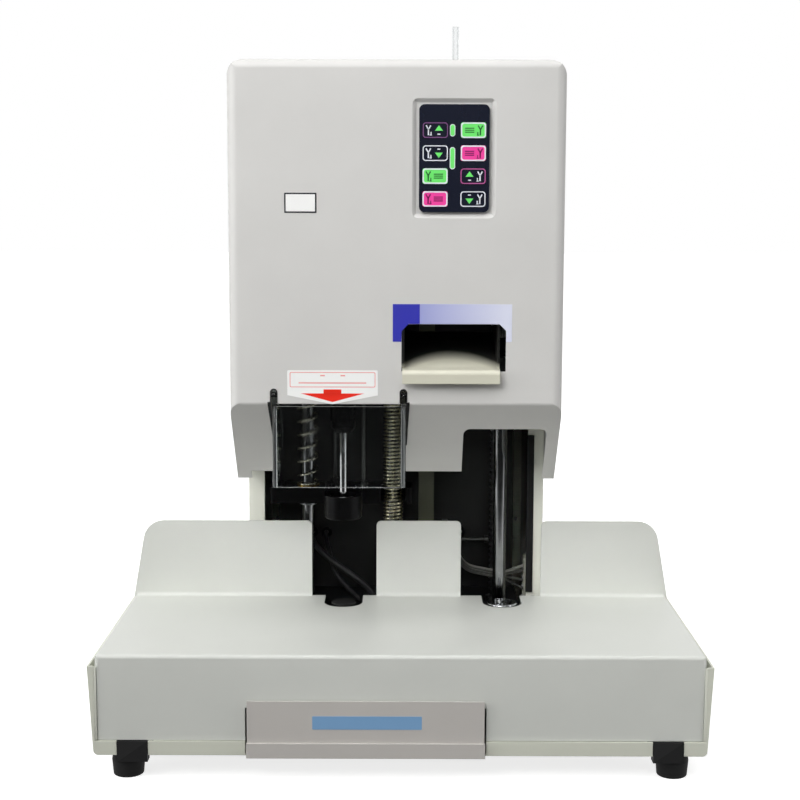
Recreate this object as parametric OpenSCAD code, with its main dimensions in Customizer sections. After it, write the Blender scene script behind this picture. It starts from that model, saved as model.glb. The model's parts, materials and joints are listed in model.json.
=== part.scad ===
// Desktop document riveting machine.
// The left station drills a paper stack with a hollow bit; the right station
// rivets it with a nylon tube between two heated dies.
// Millimetres, Z up. The origin is on the floor under the middle of the machine,
// -Y is the operator's side, +X is to the operator's right.

/* [Base] */
// Width over the base pan
base_w = 450; // [430:5:480]
// Overall depth of the machine
base_d = 400; // [390:5:430]
// Height of the table above the floor
table_h = 93; // [90:1:105]
// Height of a rubber foot below the pan
foot_h = 19; // [15:1:22]
// Diameter of a rubber foot
foot_d = 24; // [20:1:28]
// Depth of the table in front of the document fence
table_depth = 167; // [162:1:180]
// Height of the document fence above the table
fence_h = 63; // [50:1:64]
// Height of the pan's front lip
lip_h = 10.5; // [8:0.5:11]
// Thickness of the pan and cover sheets
sheet_t = 1.5; // [1:0.1:2]

/* [Head] */
// Width of the head cover
head_w = 247; // [244:1:260]
// Height of the top of the head above the floor
head_top = 518; // [515:1:540]
// Offset of the head from the middle of the base
head_x = -4; // [-6:0.5:-2]
// Distance of the head's face behind the front edge of the table
head_setback = 59; // [56:1:62]
// Height of the bend between face and sloping lip above the table
bend_h = 174; // [172:1:176]
// Height of the sloping lip
lip_drop = 59; // [52:1:62]
// Depth of the sloping lip
lip_back = 49; // [44:1:54]

/* [Stations] */
// Sideways position of the drill
drill_x = -46.5; // [-48:0.5:-45]
// Sideways position of the rivet dies
rivet_x = 82.5; // [81:0.5:84]
// Distance of both station axes in front of the fence
station_gap = 20; // [19:0.5:22]
// Height of paper that fits under the press foot
stack_h = 70; // [66:0.5:70]
// Outside diameter of the hollow drill bit
bit_d = 5.5; // [4.5:0.1:6]
// Outside diameter of the nylon rivet tube
tube_d = 5.2; // [4.5:0.1:5.6]
// Outside diameter of the press foot
press_foot_d = 30; // [28:0.5:31]
// Diameter of the rivet dies
die_d = 24; // [20:0.5:26]

/* [Guides] */
// Diameter of the two guide columns of the drill carriage
guide_d = 10; // [8:0.5:10.5]
// Diameter of the guide column of the rivet arm
rivet_guide_d = 11; // [9:0.5:13]
// Diameter of the feed screws
screw_d = 12; // [10:0.5:12.5]
// Distance of the columns behind the fence
guide_gap = 20; // [19:0.5:21]
// Wire of the wide press spring
press_wire = 1.8; // [1.4:0.1:2]
// Wire of the fine return spring
return_wire = 1.5; // [1.2:0.1:1.7]

/* [Controls] */
// Width of the keypad recess
pad_w = 61; // [58:1:64]
// Height of the keypad recess
pad_h = 86; // [84:1:90]
// Width of a key
key_w = 18.3; // [16:0.1:18.6]
// Height of a key
key_h = 11.2; // [9:0.1:12]
// Pitch of the key rows
key_pitch = 16.45; // [16:0.05:17]
// Travel of a key
key_travel = 0.5; // [0.3:0.1:0.8]

/* [Drawer and shield] */
// Width of the drawer front
drawer_w = 171; // [165:1:172]
// Depth of the drawer tray
drawer_d = 150; // [120:5:150]
// Width over the clear shield
shield_w = 99; // [97:0.5:99]
// Thickness of the clear shield
shield_t = 3; // [2:0.5:3]
// Reach of the clear shield below its pins
shield_drop = 69; // [64:1:70]
// Depth of the shield's side wings
wing_d = 67; // [56:1:68]

/* [Hidden] */

$fn = 48;
arc_n = 6;          // segments in one rounded corner of an outline
run_gap = 0.05;     // radial gap of a shaft that turns or slides in a bore
fit_gap = 0.3;      // gap between parts that only pass each other

// Places of the covers
drawer_proud = 5;                       // drawer front stands out of the skirt
front_y = -base_d / 2 + drawer_proud;   // front edge of the table
rear_y = base_d / 2;                    // outside of the pan's rear wall
pan_front_y = front_y - sheet_t;
pan_splay = 3.5;                        // side walls lean out by this much
pan_top_z = table_h - 8;
pan_floor_z = foot_h + sheet_t;
pan_r = 3.5;                            // lower corners of the pan
cover_gap = 5;                          // table cover inside the pan's upper edges
cover_hw = base_w / 2 - cover_gap;
cover_r = 3;                            // bend radius of the table cover
skirt_z = foot_h + lip_h + fit_gap;      // lower edge of the cover's skirt
drawer_low_z = foot_h + lip_h - 0.5;    // underside of the drawer's front plate
cover_rear_y = rear_y - 3;
fence_y = front_y + table_depth;        // front face of the fence
fence_back_y = fence_y + sheet_t;
fence_slope = 11;                       // the fence's ends lean in
fence_r = 17;

// Stations and columns
station_y = fence_y - station_gap;
guide_y = fence_y + guide_gap;
guide_left_x = drill_x - 30.5;
guide_right_x = drill_x + 40;
screw_y = guide_y + 44;
drill_screw_x = guide_right_x;
foot_z = table_h + stack_h;             // underside of the press foot at rest

// Column shell and head cover
shell_y = fence_y + 10;
shell_hw = head_w / 2 - sheet_t - 0.5;
shell_flange = 13;
shell_top_z = 440;
cover_back_y = rear_y - 12;             // rear edge of the shell and the head
face_y = front_y + head_setback;
bend_z = table_h + bend_h;
lip_z = bend_z - lip_drop;
lip_y = face_y + lip_back;
leg_drop = 6.5;                         // the corner legs reach below the lip
leg_w = 9;
leg_z = lip_z - leg_drop;
lip_len = norm([lip_back, lip_drop]);
head_edge_r = 8;
head_corner_r = 13;
head_brow_r = 7;
bend_r = 4;

// Notches and slots
drill_notch_w = 53;
rivet_notch_w = 66;
notch_r = 4;
drill_slot_r = 15.5;
rivet_slot_r = 15.8;
lip_notch_w = 63;
lip_notch_x = rivet_x - 4;
lip_notch_z = bend_z - 21;

// Frame inside
frame_hw = shell_hw - 15;
frame_top_z = table_h - 21;
frame_t = 12;
frame_y0 = station_y - 24;
plate_room = 93;                        // room for the drill motor behind the columns
plate_y = guide_y + plate_room;         // front of the back plate
plate_t = 6;
upper_t = 10;
seat_depth = 8;                         // columns sit this deep in the lower frame

// Drill carriage
bar_rise = 5.6;                         // bar above the press foot's underside
bar_t = 13.4;
bar_z = foot_z + bar_rise;
bar_top_z = bar_z + bar_t;
press_lift = 66;                        // the press bar gives way by this much
spring_room = 95;                       // length of the press spring at rest
carriage_z = bar_top_z + spring_room;
carriage_t = 28;
carriage_top_z = carriage_z + carriage_t;
chuck_d = 20;
chuck_z = foot_z + stack_h;
spindle_d = 12;
bearing_d = 26;
bearing_h = 8;
housing_top_z = carriage_top_z + 60;
pulley_z = housing_top_z + 16;
pulley_h = 12;
upper_z = pulley_z + pulley_h + 7;      // clear of the end of the spindle
spindle_pulley_r = 18;
motor_pulley_r = 12;
belt_t = 1.5;
motor_d = 56;
motor_y = guide_y + 50;
motor_x = drill_x - 3.5;
rod_d = 3;
rod_spots = [[drill_x + 15.5, guide_y - 5], [drill_x - 8.5, guide_y + 8]];

// Springs
press_spring_d = guide_d + 6.2;         // mean diameter
return_spring_d = guide_d + 5.1;
press_turns = 10;
return_turns = 68;

// Dies and anvil
pad_d = 20;
anvil_d = drill_slot_r * 2 - 2.4;
pad_proud = 0.4;
die_top_z = table_h + pad_proud;
heater_d = rivet_slot_r * 2 - 2.6;
upper_die_z = table_h + 143;

// Tube feed
tube_x = 40;
tube_y = face_y + 51;
tube_top_z = head_top + 28;
cutter_z = 336;
cutter_t = 18;
blade_t = 1;
blade_z = cutter_z + 4;
tube_bottom_z = blade_z + blade_t + fit_gap;
outlet_x0 = 0;
outlet_w = 77;
outlet_top_z = bend_z + 59.5;
outlet_z = bend_z + 24.5;
outlet_r = 5;
chute_w = 72;

// Keypad
pad_x = head_x + 41.8;
pad_z = head_top - 71;
pad_depth = 2;
panel_w = pad_w - 10;
panel_h = pad_h - 8.6;
panel_t = 2.6;
key_t = 1.6;
key_gap = 0.15;
key_dx = 13.8;
key_z0 = pad_z + 20.2;

// Shield
pin_y = face_y + 5;
pin_z = bend_z + 6;
pin_d = 3;
ear_r = 3.5;
slot_w = shield_t + 1;
slot_top_z = pin_z + 4.6;

// ------------------------------------------------------------------ helpers

// Points of an outline whose corners [x, y, r] are rounded by r
function turn(a) = a > 180 ? a - 360 : a < -180 ? a + 360 : a;
function corner(a, b, c) =
  let (
    p = [b[0], b[1]],
    u = [a[0], a[1]] - p,
    v = [c[0], c[1]] - p,
    un = u / norm(u),
    vn = v / norm(v),
    half = acos(un * vn) / 2,
    m = (un + vn) / norm(un + vn),
    centre = p + m * b[2] / sin(half),
    s = p + un * b[2] / tan(half) - centre,
    e = p + vn * b[2] / tan(half) - centre,
    a0 = atan2(s[1], s[0]),
    da = turn(atan2(e[1], e[0]) - a0)
  )
  [for (i = [0:arc_n]) centre + b[2] * [cos(a0 + da * i / arc_n), sin(a0 + da * i / arc_n)]];
function rounded(p) = [
  for (i = [0:len(p) - 1])
    let (n = len(p), b = p[i])
    for (q = b[2] > 0 ? corner(p[(i + n - 1) % n], b, p[(i + 1) % n]) : [[b[0], b[1]]]) q
];
function rect_points(x0, y0, x1, y1, r) =
  rounded([[x0, y0, r], [x1, y0, r], [x1, y1, r], [x0, y1, r]]);

// Extrusions of a flat outline along each axis
module along_x(x0, x1) { translate([x0, 0, 0]) rotate([90, 0, 90]) linear_extrude(x1 - x0) children(); }
module along_y(y0, y1) { translate([0, y1, 0]) rotate([90, 0, 0]) linear_extrude(y1 - y0) children(); }
module along_z(z0, z1) { translate([0, 0, z0]) linear_extrude(z1 - z0) children(); }
module block(a, b) { translate(a) cube(b - a); }
module post(d, z0, z1, at) { translate([at[0], at[1], z0]) cylinder(d = d, h = z1 - z0); }
module lying(d, y0, y1, at) { translate([at[0], y1, at[1]]) rotate([90, 0, 0]) cylinder(d = d,
    h = y1 - y0); }
module cross_pin(d, x0, x1, at) { translate([x0, at[0], at[1]]) rotate([0, 90, 0]) cylinder(d = d,
    h = x1 - x0); }

// Triangles of a tube whose rings hold `sides` points each
function tube_faces(rings, sides) = concat(
  [for (k = [1:sides - 2]) [0, k, k + 1]],
  [for (i = [0:rings - 2], k = [0:sides - 1], h = [0, 1])
    let (a = i * sides + k, b = i * sides + (k + 1) % sides)
    h == 0 ? [a, a + sides, b] : [b, a + sides, b + sides]],
  [for (k = [1:sides - 2]) let (o = (rings - 1) * sides) [o, o + k + 1, o + k]]
);

// Round wire wound into a helix of `turns` curls between two seats
curl_rings = 8;
curl_sides = 6;
function coil_path(d, wire, z0, z1, turns) =
  [for (i = [0:turns * curl_rings])
    let (a = 360 * i / curl_rings)
    [d / 2 * cos(a), d / 2 * sin(a), z0 + wire / 2 + (z1 - z0 - wire) * i / (turns * curl_rings)]];
function coil_gap(p, wire) =
  min([for (i = [0:len(p) - curl_rings - 1]) norm(p[i + curl_rings] - p[i])]) - wire;
module coil(d, wire, z0, z1, turns, at) {
  path = coil_path(d, wire, z0, z1, turns);
  points = [
    for (i = [0:len(path) - 1], k = [0:curl_sides - 1])
      let (a = 360 * i / curl_rings, s = 360 * k / curl_sides)
      path[i] + wire / 2 * (cos(s) * [cos(a), sin(a), 0] - [0, 0, sin(s)])
  ];
  translate([at[0], at[1], 0]) polyhedron(points, tube_faces(len(path), curl_sides));
}

// Cable along a smooth curve through hand-placed points
cable_sides = 8;
cable_steps = 3;
function spline(p, i, t) =
  let (n = len(p) - 1, a = p[max(i - 1, 0)], b = p[i], c = p[i + 1], d = p[min(i + 2, n)])
  0.5 * (2 * b + (c - a) * t + (2 * a - 5 * b + 4 * c - d) * t * t + (3 * b - a - 3 * c + d) * t * t * t);
function smooth_path(p) = concat(
  [for (i = [0:len(p) - 2], j = [0:cable_steps - 1]) spline(p, i, j / cable_steps)],
  [p[len(p) - 1]]
);
module cable(d, p, side) {
  path = smooth_path(p);
  n = len(path) - 1;
  points = [
    for (i = [0:n])
      let (
        t = path[min(i + 1, n)] - path[max(i - 1, 0)],
        tn = t / norm(t),
        u = cross(side, tn) / norm(cross(side, tn)),
        v = cross(tn, u)
      )
      for (k = [0:cable_sides - 1])
        path[i] + d / 2 * (cos(360 * k / cable_sides) * u + sin(360 * k / cable_sides) * v)
  ];
  polyhedron(points, tube_faces(n + 1, cable_sides));
}

// ------------------------------------------------------------------ base

foot_inset = 26;
foot_x = base_w / 2 - foot_inset;
foot_y0 = front_y + foot_inset - 12;
foot_y1 = rear_y - foot_inset;
foot_bolt_d = 6;
clamp_w = 22;
clamp_shift = 5.5;
clamp_drop = 5;                         // front blocks hang below the pan
clamp_t = 9;
clamp_y0 = pan_front_y - 0.5;
drawer_x = head_x - 21;
drawer_slot_gap = 1.5;

module at_feet(ys) {
  for (sx = [-1, 1], y = ys) translate([sx * foot_x, y, 0]) scale_x(sx) children();
}
module scale_x(s) { if (s > 0) children(); else mirror([1, 0, 0]) children(); }

// Half width of the pan at a height
function pan_hw(z) = base_w / 2 - pan_splay * (pan_top_z - z) / (pan_top_z - foot_h);

module base_pan() {
  bottom = pan_hw(foot_h);
  top = pan_hw(pan_top_z);
  inner = cover_hw + fit_gap;
  lip_z1 = foot_h + lip_h;
  color("#cfd1c0")
  difference() {
    union() {
      along_y(pan_front_y, rear_y) polygon(rounded([
        [-bottom, foot_h, pan_r], [bottom, foot_h, pan_r],
        [top, pan_top_z, 0], [top - sheet_t, pan_top_z, 0],
        [bottom - sheet_t, pan_floor_z, pan_r - sheet_t], [-bottom + sheet_t, pan_floor_z, pan_r - sheet_t],
        [-top + sheet_t, pan_top_z, 0], [-top, pan_top_z, 0]
      ]));
      // front lip, which runs up beside the cover to close the gap of the splayed walls
      along_y(pan_front_y, front_y) polygon(rounded([
        [-bottom, foot_h, pan_r], [bottom, foot_h, pan_r],
        [top, pan_top_z, 0], [inner, pan_top_z, 0], [inner, lip_z1, 0],
        [-inner, lip_z1, 0], [-inner, pan_top_z, 0], [-top, pan_top_z, 0]
      ]));
      along_y(rear_y - sheet_t, rear_y) polygon(rounded([
        [-bottom, foot_h, pan_r], [bottom, foot_h, pan_r], [top, pan_top_z, 0], [-top, pan_top_z, 0]
      ]));
    }
    // notches for the clamp blocks of the front feet
    for (s = [-1, 1])
      block([s * (foot_x - clamp_shift) - clamp_w / 2 - fit_gap, pan_front_y - 1, foot_h - 1],
            [s * (foot_x - clamp_shift) + clamp_w / 2 + fit_gap, clamp_y0 + clamp_t + fit_gap, lip_z1 + 1]);
    block([drawer_x - drawer_w / 2 - drawer_slot_gap, pan_front_y - 1, pan_floor_z],
          [drawer_x + drawer_w / 2 + drawer_slot_gap, front_y + 1, table_h]);
    at_feet([foot_y0, foot_y1]) cylinder(d = foot_bolt_d + 0.2, h = table_h);
  }
}

module rubber_feet() {
  color("#1c1c1d") {
    at_feet([foot_y0, foot_y1]) {
      rotate_extrude() polygon(rounded([
        [0, 0, 0], [foot_d / 2 - 1, 0, 1], [foot_d / 2, foot_h * 0.6, 0], [foot_d / 2 - 1, foot_h, 1],
        [0, foot_h, 0]
      ]));
      cylinder(d = foot_bolt_d, h = pan_floor_z + 1);
      block([-clamp_shift - clamp_w / 2, -11, pan_floor_z],
            [-clamp_shift + clamp_w / 2, 11, foot_h + lip_h]);
    }
    // the front blocks reach out through the lip and grip its lower edge
    at_feet([foot_y0])
      block([-clamp_shift - clamp_w / 2, clamp_y0 - foot_y0, foot_h - clamp_drop],
            [-clamp_shift + clamp_w / 2, clamp_y0 - foot_y0 + clamp_t, foot_h + lip_h]);
  }
}

// Outline of the fence, seen from the front
function fence_outline(drop) = rounded([
  [-cover_hw, table_h - drop, 0], [cover_hw, table_h - drop, 0], [cover_hw, table_h, 0],
  [cover_hw - fence_slope, table_h + fence_h, fence_r], [-cover_hw + fence_slope, table_h + fence_h,
      fence_r],
  [-cover_hw, table_h, 0]
]);
// The two notches above the table, open upward
module fence_notches(y0, y1) {
  top = table_h + fence_h;
  for (n = [[drill_x, drill_notch_w], [rivet_x, rivet_notch_w]])
    along_y(y0, y1) polygon(rounded([
      [n[0] - n[1] / 2, table_h, 0], [n[0] + n[1] / 2, table_h, 0], [n[0] + n[1] / 2, top, 0],
      [n[0] + n[1] / 2 + notch_r, top, 0], [n[0] + n[1] / 2 + notch_r, top + 5, 0],
      [n[0] - n[1] / 2 - notch_r, top + 5, 0], [n[0] - n[1] / 2 - notch_r, top, 0],
      [n[0] - n[1] / 2, top, 0]
    ]));
}
module round_lug(x, s, y0, y1) {
  // quarter round that takes the corner off the fence beside a notch
  top = table_h + fence_h;
  difference() {
    block([min(x, x + s * notch_r), y0, top - notch_r], [max(x, x + s * notch_r), y1, top + 1]);
    lying(2 * notch_r, y0 - 1, y1 + 1, [x + s * notch_r, top - notch_r]);
  }
}
module cover_block(grow, z0) {
  // rounded block of the table cover, smaller by `grow`
  r = max(cover_r - grow, 0.5);
  y0 = front_y + grow;
  y1 = cover_rear_y - grow;
  hw = cover_hw - grow;
  z1 = table_h - grow;
  intersection() {
    along_x(-hw, hw) polygon(rounded([[y0, z0, 0], [y1, z0, 0], [y1, z1, r], [y0, z1, r]]));
    along_y(y0, y1) polygon(rounded([[-hw, z0, 0], [hw, z0, 0], [hw, z1, r], [-hw, z1, r]]));
    along_z(z0, z1) polygon(rect_points(-hw, y0, hw, y1, r));
  }
}
module table_cover() {
  bend_in = 3;
  color("#c9ccc6")
  difference() {
    union() {
      difference() {
        cover_block(0, skirt_z);
        cover_block(sheet_t, skirt_z - 1);
      }
      along_y(fence_y, fence_back_y) polygon(fence_outline(sheet_t));
      // inside radius of the bend between table and fence
      difference() {
        block([-cover_hw + 2, fence_y - bend_in, table_h - 0.5], [cover_hw - 2, fence_y + 0.5,
            table_h + bend_in]);
        cross_pin(2 * bend_in, -base_w, base_w, [fence_y - bend_in, table_h + bend_in]);
      }
    }
    fence_notches(fence_y - bend_in - 1, fence_back_y + 1);
    for (n = [[drill_x, drill_notch_w], [rivet_x, rivet_notch_w]], s = [-1, 1])
      round_lug(n[0] + s * n[1] / 2, s, fence_y - 1, fence_back_y + 1);
    // U slots round the anvil and the lower die, open to the column
    for (n = [[drill_x, drill_slot_r], [rivet_x, rivet_slot_r]]) {
      post(2 * n[1], table_h - 10, table_h + 1, [n[0], station_y]);
      block([n[0] - n[1], station_y, table_h - 10], [n[0] + n[1], shell_y, table_h + bend_in + 1]);
    }
    // cut-out for the column and the drawer
    block([head_x - shell_hw - 0.6, fence_back_y, skirt_z], [head_x + shell_hw + 0.6, cover_back_y + 2,
        table_h + 1]);
    block([drawer_x - drawer_w / 2 - drawer_slot_gap, front_y - 1, skirt_z - 1],
          [drawer_x + drawer_w / 2 + drawer_slot_gap, front_y + 8, drawer_low_z + drawer_front_h - 6]);
  }
}

// ------------------------------------------------------------------ shells

screw_shank_d = 3.4;
screw_hole_d = 3.8;
rear_screw_z = [table_h + 20, 250, head_top - 150];
side_screw = [[cover_back_y - 30, leg_z + 25], [cover_back_y - 30, head_top - 45]];

module column_shell() {
  inner = shell_hw - sheet_t;
  color("#cfd1c0")
  translate([head_x, 0, 0])
  difference() {
    union() {
      for (s = [-1, 1]) {
        block([min(s * inner, s * shell_hw), shell_y, pan_floor_z], [max(s * inner, s * shell_hw),
            cover_back_y, shell_top_z]);
        block([s > 0 ? shell_hw - shell_flange : -shell_hw, shell_y, pan_floor_z],
              [s > 0 ? shell_hw : -shell_hw + shell_flange, shell_y + sheet_t, shell_top_z]);
        block([s > 0 ? shell_hw - shell_flange : -shell_hw, cover_back_y - sheet_t, pan_floor_z],
              [s > 0 ? shell_hw : -shell_hw + shell_flange, cover_back_y, shell_top_z]);
      }
    }
    for (s = [-1, 1], z = rear_screw_z)
      lying(screw_hole_d, cover_back_y - 5, cover_back_y + 5, [s * (shell_hw - shell_flange / 2), z]);
  }
}

// Side outline of the head, `t` inside the outer skin
function head_side(t, low, back) =
  let (
    k = t * (lip_len - lip_drop) / lip_back,
    y_low = face_y + (t * lip_len + (bend_z - low) * lip_back) / lip_drop
  )
  rounded([
    [face_y + t, head_top - t, max(head_brow_r - t, 0.5)], [face_y + t, bend_z + k, bend_r],
    [y_low, low, 0], [back, low, 0], [back, head_top - t, 0]
  ]);
module head_block(t, low, back) {
  hw = head_w / 2 - t;
  z1 = head_top - t;
  r = head_corner_r - t;
  intersection() {
    along_x(-hw, hw) polygon(head_side(t, low, back));
    along_y(face_y + t, back) polygon(rounded([[-hw, low, 0], [hw, low, 0], [hw, z1, r], [-hw, z1, r]]));
    along_z(low, z1) polygon(rounded([
      [-hw, face_y + t, head_edge_r - t], [hw, face_y + t, head_edge_r - t], [hw, back, 0], [-hw, back, 0]
    ]));
  }
}
ear_t = 1.5;
ear_out = slot_w / 2 + 0.4;             // head ear beside the shield slot
slot_dx = shield_w / 2 - shield_t / 2;
pad_back_y = face_y + pad_depth + sheet_t;
pad_draft = 3;                          // the recess walls slope in by this much
module pad_recess() {
  x0 = pad_x - pad_w / 2;
  x1 = pad_x + pad_w / 2;
  z0 = pad_z - pad_h / 2;
  z1 = pad_z + pad_h / 2;
  y1 = face_y + pad_depth;
  lead = pad_draft / pad_depth;
  intersection() {
    along_y(face_y - 1, y1) polygon(rect_points(x0, z0, x1, z1, 5));
    along_x(x0 - 1, x1 + 1)
      polygon([[face_y - 1, z0 - lead], [y1, z0 + pad_draft], [y1, z1 - pad_draft], [face_y - 1,
          z1 + lead]]);
    along_z(z0 - 1, z1 + 1)
      polygon([[x0 - lead, face_y - 1], [x1 + lead, face_y - 1], [x1 - pad_draft, y1], [x0 + pad_draft,
          y1]]);
  }
}
module head_cover() {
  color("#cccbc7")
  difference() {
    union() {
      translate([head_x, 0, 0]) difference() {
        head_block(0, leg_z, cover_back_y);
        head_block(sheet_t, leg_z - 1, cover_back_y + 1);
      }
      // pressed recess that holds the keypad
      along_y(face_y + 0.2, pad_back_y)
        polygon(rect_points(pad_x - pad_w / 2 - sheet_t, pad_z - pad_h / 2 - sheet_t,
                            pad_x + pad_w / 2 + sheet_t, pad_z + pad_h / 2 + sheet_t, 6));
      // ears that carry the hinge pins of the shield
      for (s = [-1, 1])
        block([drill_x + s * slot_dx + (s > 0 ? ear_out : -ear_out - ear_t), face_y + 0.5, pin_z - 6],
              [drill_x + s * slot_dx + (s > 0 ? ear_out + ear_t : -ear_out), pin_y + 6, pin_z + 6]);
    }
    pad_recess();
    along_y(face_y, pad_back_y + 1)
      polygon(rect_points(pad_x - panel_w / 2 + 3, pad_z - panel_h / 2 + 3, pad_x + panel_w / 2 - 3,
          pad_z + panel_h / 2 - 3, 2));
    // the lip between the corner legs is shorter than the legs
    block([head_x - head_w / 2 + leg_w + 2, face_y + 20, leg_z - 1], [head_x + head_w / 2 - leg_w - 2,
        lip_y + 12, lip_z]);
    // opening of the drill station with a slot for each wing of the shield
    block([drill_x - slot_dx, face_y - 1, leg_z - 1], [drill_x + slot_dx, lip_y + 12, bend_z]);
    for (s = [-1, 1]) {
      block([drill_x + s * slot_dx - slot_w / 2, face_y - 1, leg_z - 1],
            [drill_x + s * slot_dx + slot_w / 2, lip_y + 12, slot_top_z - slot_w / 2]);
      lying(slot_w, face_y - 1, face_y + 4, [drill_x + s * slot_dx, slot_top_z - slot_w / 2]);
    }
    cross_pin(pin_d, drill_x - slot_dx - 12, drill_x + slot_dx + 12, [pin_y, pin_z]);
    // notch of the rivet station
    along_y(face_y + 5, lip_y + 12) polygon(rounded([
      [lip_notch_x - lip_notch_w / 2, leg_z - 1, 0], [lip_notch_x + lip_notch_w / 2, leg_z - 1, 0],
      [lip_notch_x + lip_notch_w / 2, lip_notch_z, 5], [lip_notch_x - lip_notch_w / 2, lip_notch_z, 5]
    ]));
    // outlet for the cut tubes
    along_y(face_y - 1, face_y + 5) polygon(rounded([
      [outlet_x0, outlet_z, 0], [outlet_x0 + outlet_w, outlet_z, 0],
      [outlet_x0 + outlet_w, outlet_top_z, outlet_r], [outlet_x0, outlet_top_z, outlet_r]
    ]));
    post(guide_hole_d, head_top - 10, head_top + 1, [tube_x, tube_y]);
    for (p = side_screw)
      cross_pin(screw_hole_d, head_x - head_w, head_x + head_w, p);
  }
}

louver_w = 44;
louver_rows = 9;
louver_pitch = 14;
louver_z0 = 300;
louver_out = 4;
inlet_x = head_x + 70;
inlet_z = table_h + 75;
module rear_cover() {
  y0 = cover_back_y;
  y1 = cover_back_y + sheet_t;
  hw = head_w / 2;
  cx = [head_x - 50, head_x + 50];
  color("#cccbc7")
  difference() {
    union() {
      along_y(y0, y1) polygon(rounded([
        [head_x - shell_hw, table_h + 2, 2], [head_x + shell_hw, table_h + 2, 2], [head_x + shell_hw,
            leg_z, 0],
        [head_x + hw, leg_z, 0], [head_x + hw, head_top, head_corner_r], [head_x - hw, head_top,
            head_corner_r],
        [head_x - hw, leg_z, 0], [head_x - shell_hw, leg_z, 0]
      ]));
      // pressed hoods of the louvres
      for (x = cx, i = [0:louver_rows - 1]) translate([x, y1, louver_z0 + i * louver_pitch])
        along_x(-louver_w / 2, louver_w / 2) polygon([[-0.5, 6.5], [0, 6.5], [louver_out, 0],
            [louver_out - 1, 0], [-0.5, 5]]);
    }
    for (x = cx, i = [0:louver_rows - 1])
      block([x - louver_w / 2 + 1.5, y0 - 1, louver_z0 + i * louver_pitch],
            [x + louver_w / 2 - 1.5, y1 + 1, louver_z0 + i * louver_pitch + 3.5]);
    block([inlet_x - inlet_w / 2 + 3, y0 - 1, inlet_z - inlet_h / 2 + 3], [inlet_x + inlet_w / 2 - 3,
        y1 + 1, inlet_z + inlet_h / 2 - 3]);
    for (s = [-1, 1], z = rear_screw_z)
      lying(screw_hole_d, y0 - 1, y1 + 1, [head_x + s * (shell_hw - shell_flange / 2), z]);
  }
}

module cover_screws() {
  head_d = 7;
  head_t = 2.2;
  color("#b9babb") {
    for (s = [-1, 1], z = rear_screw_z)
      translate([head_x + s * (shell_hw - shell_flange / 2), cover_back_y + sheet_t, z]) rotate([-90, 0,
          0]) {
        cylinder(d = head_d, h = head_t);
        translate([0, 0, -6]) cylinder(d = screw_shank_d, h = 6.5);
      }
    for (s = [-1, 1], p = side_screw)
      translate([head_x + s * head_w / 2, p[0], p[1]]) rotate([0, s * 90, 0]) {
        cylinder(d = head_d, h = head_t);
        translate([0, 0, -sheet_t]) cylinder(d = screw_shank_d, h = sheet_t + 0.5);
      }
  }
}

// ------------------------------------------------------------------ frame

leg_size = [9, 22];
module lower_frame() {
  x0 = head_x - frame_hw;
  x1 = head_x + frame_hw;
  y1 = plate_y + plate_t + 2;
  color("#3b3d40")
  difference() {
    union() {
      along_z(frame_top_z - frame_t, frame_top_z) polygon(rect_points(x0, frame_y0, x1, y1, 6));
      for (x = [x0 + 1, x1 - 1 - leg_size[0]], y = [frame_y0 + 8, y1 - 8 - leg_size[1]])
        block([x, y, pan_floor_z], [x + leg_size[0], y + leg_size[1], frame_top_z - 1]);
      // ribs under the plate beside the drawer
      for (x = [x0 + 1, x1 - 5])
        block([x, frame_y0 + 8, frame_top_z - frame_t - 9], [x + 4, y1 - 8, frame_top_z - frame_t + 1]);
    }
    for (p = [[guide_left_x, guide_d], [guide_right_x, guide_d], [rivet_x, rivet_guide_d]])
      post(p[1] + 0.04, frame_top_z - seat_depth, frame_top_z + 1, [p[0], guide_y]);
    for (x = [drill_screw_x, rivet_x])
      post(screw_d - 4 + 2 * run_gap, frame_top_z - seat_depth, frame_top_z + 1, [x, screw_y]);
    // scrap falls past the anvil into the drawer
    for (s = [-1, 1])
      along_z(frame_top_z - frame_t - 1, frame_top_z + 1)
        polygon(rect_points(drill_x + s * 22 - 4, station_y - 14, drill_x + s * 22 + 4, station_y + 14, 3));
  }
}
module back_plate() {
  hw = frame_hw - 2;
  gusset_w = 5;
  color("#17181a")
  difference() {
    union() {
      along_y(plate_y, plate_y + plate_t)
        polygon(rect_points(head_x - hw, frame_top_z, head_x + hw, upper_z, 0.5));
      for (s = [-1, 1]) translate([head_x + s * (hw - gusset_w / 2), 0, 0])
        along_x(-gusset_w / 2, gusset_w / 2)
          polygon([[plate_y + 1, upper_z], [plate_y - 50, upper_z], [plate_y - 50, upper_z - 12],
              [plate_y + 1, upper_z - 70]]);
    }
    for (g = glands)
      lying(g[1] + 2 * fit_gap, plate_y - 1, plate_y + plate_t + 1, [g[0], gland_z]);
  }
}
module centre_strut() {
  x0 = rivet_x - 67.5;
  w = 13;
  d = 10;
  color("#d6d6ba")
  difference() {
    block([x0, guide_y + 18, frame_top_z], [x0 + w, guide_y + 18 + d, upper_z]);
    block([x0 + 1.5, guide_y + 19.5, frame_top_z - 1], [x0 + w - 1.5, guide_y + 19 + d, upper_z + 1]);
  }
}
tongue_hw = 22;
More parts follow.
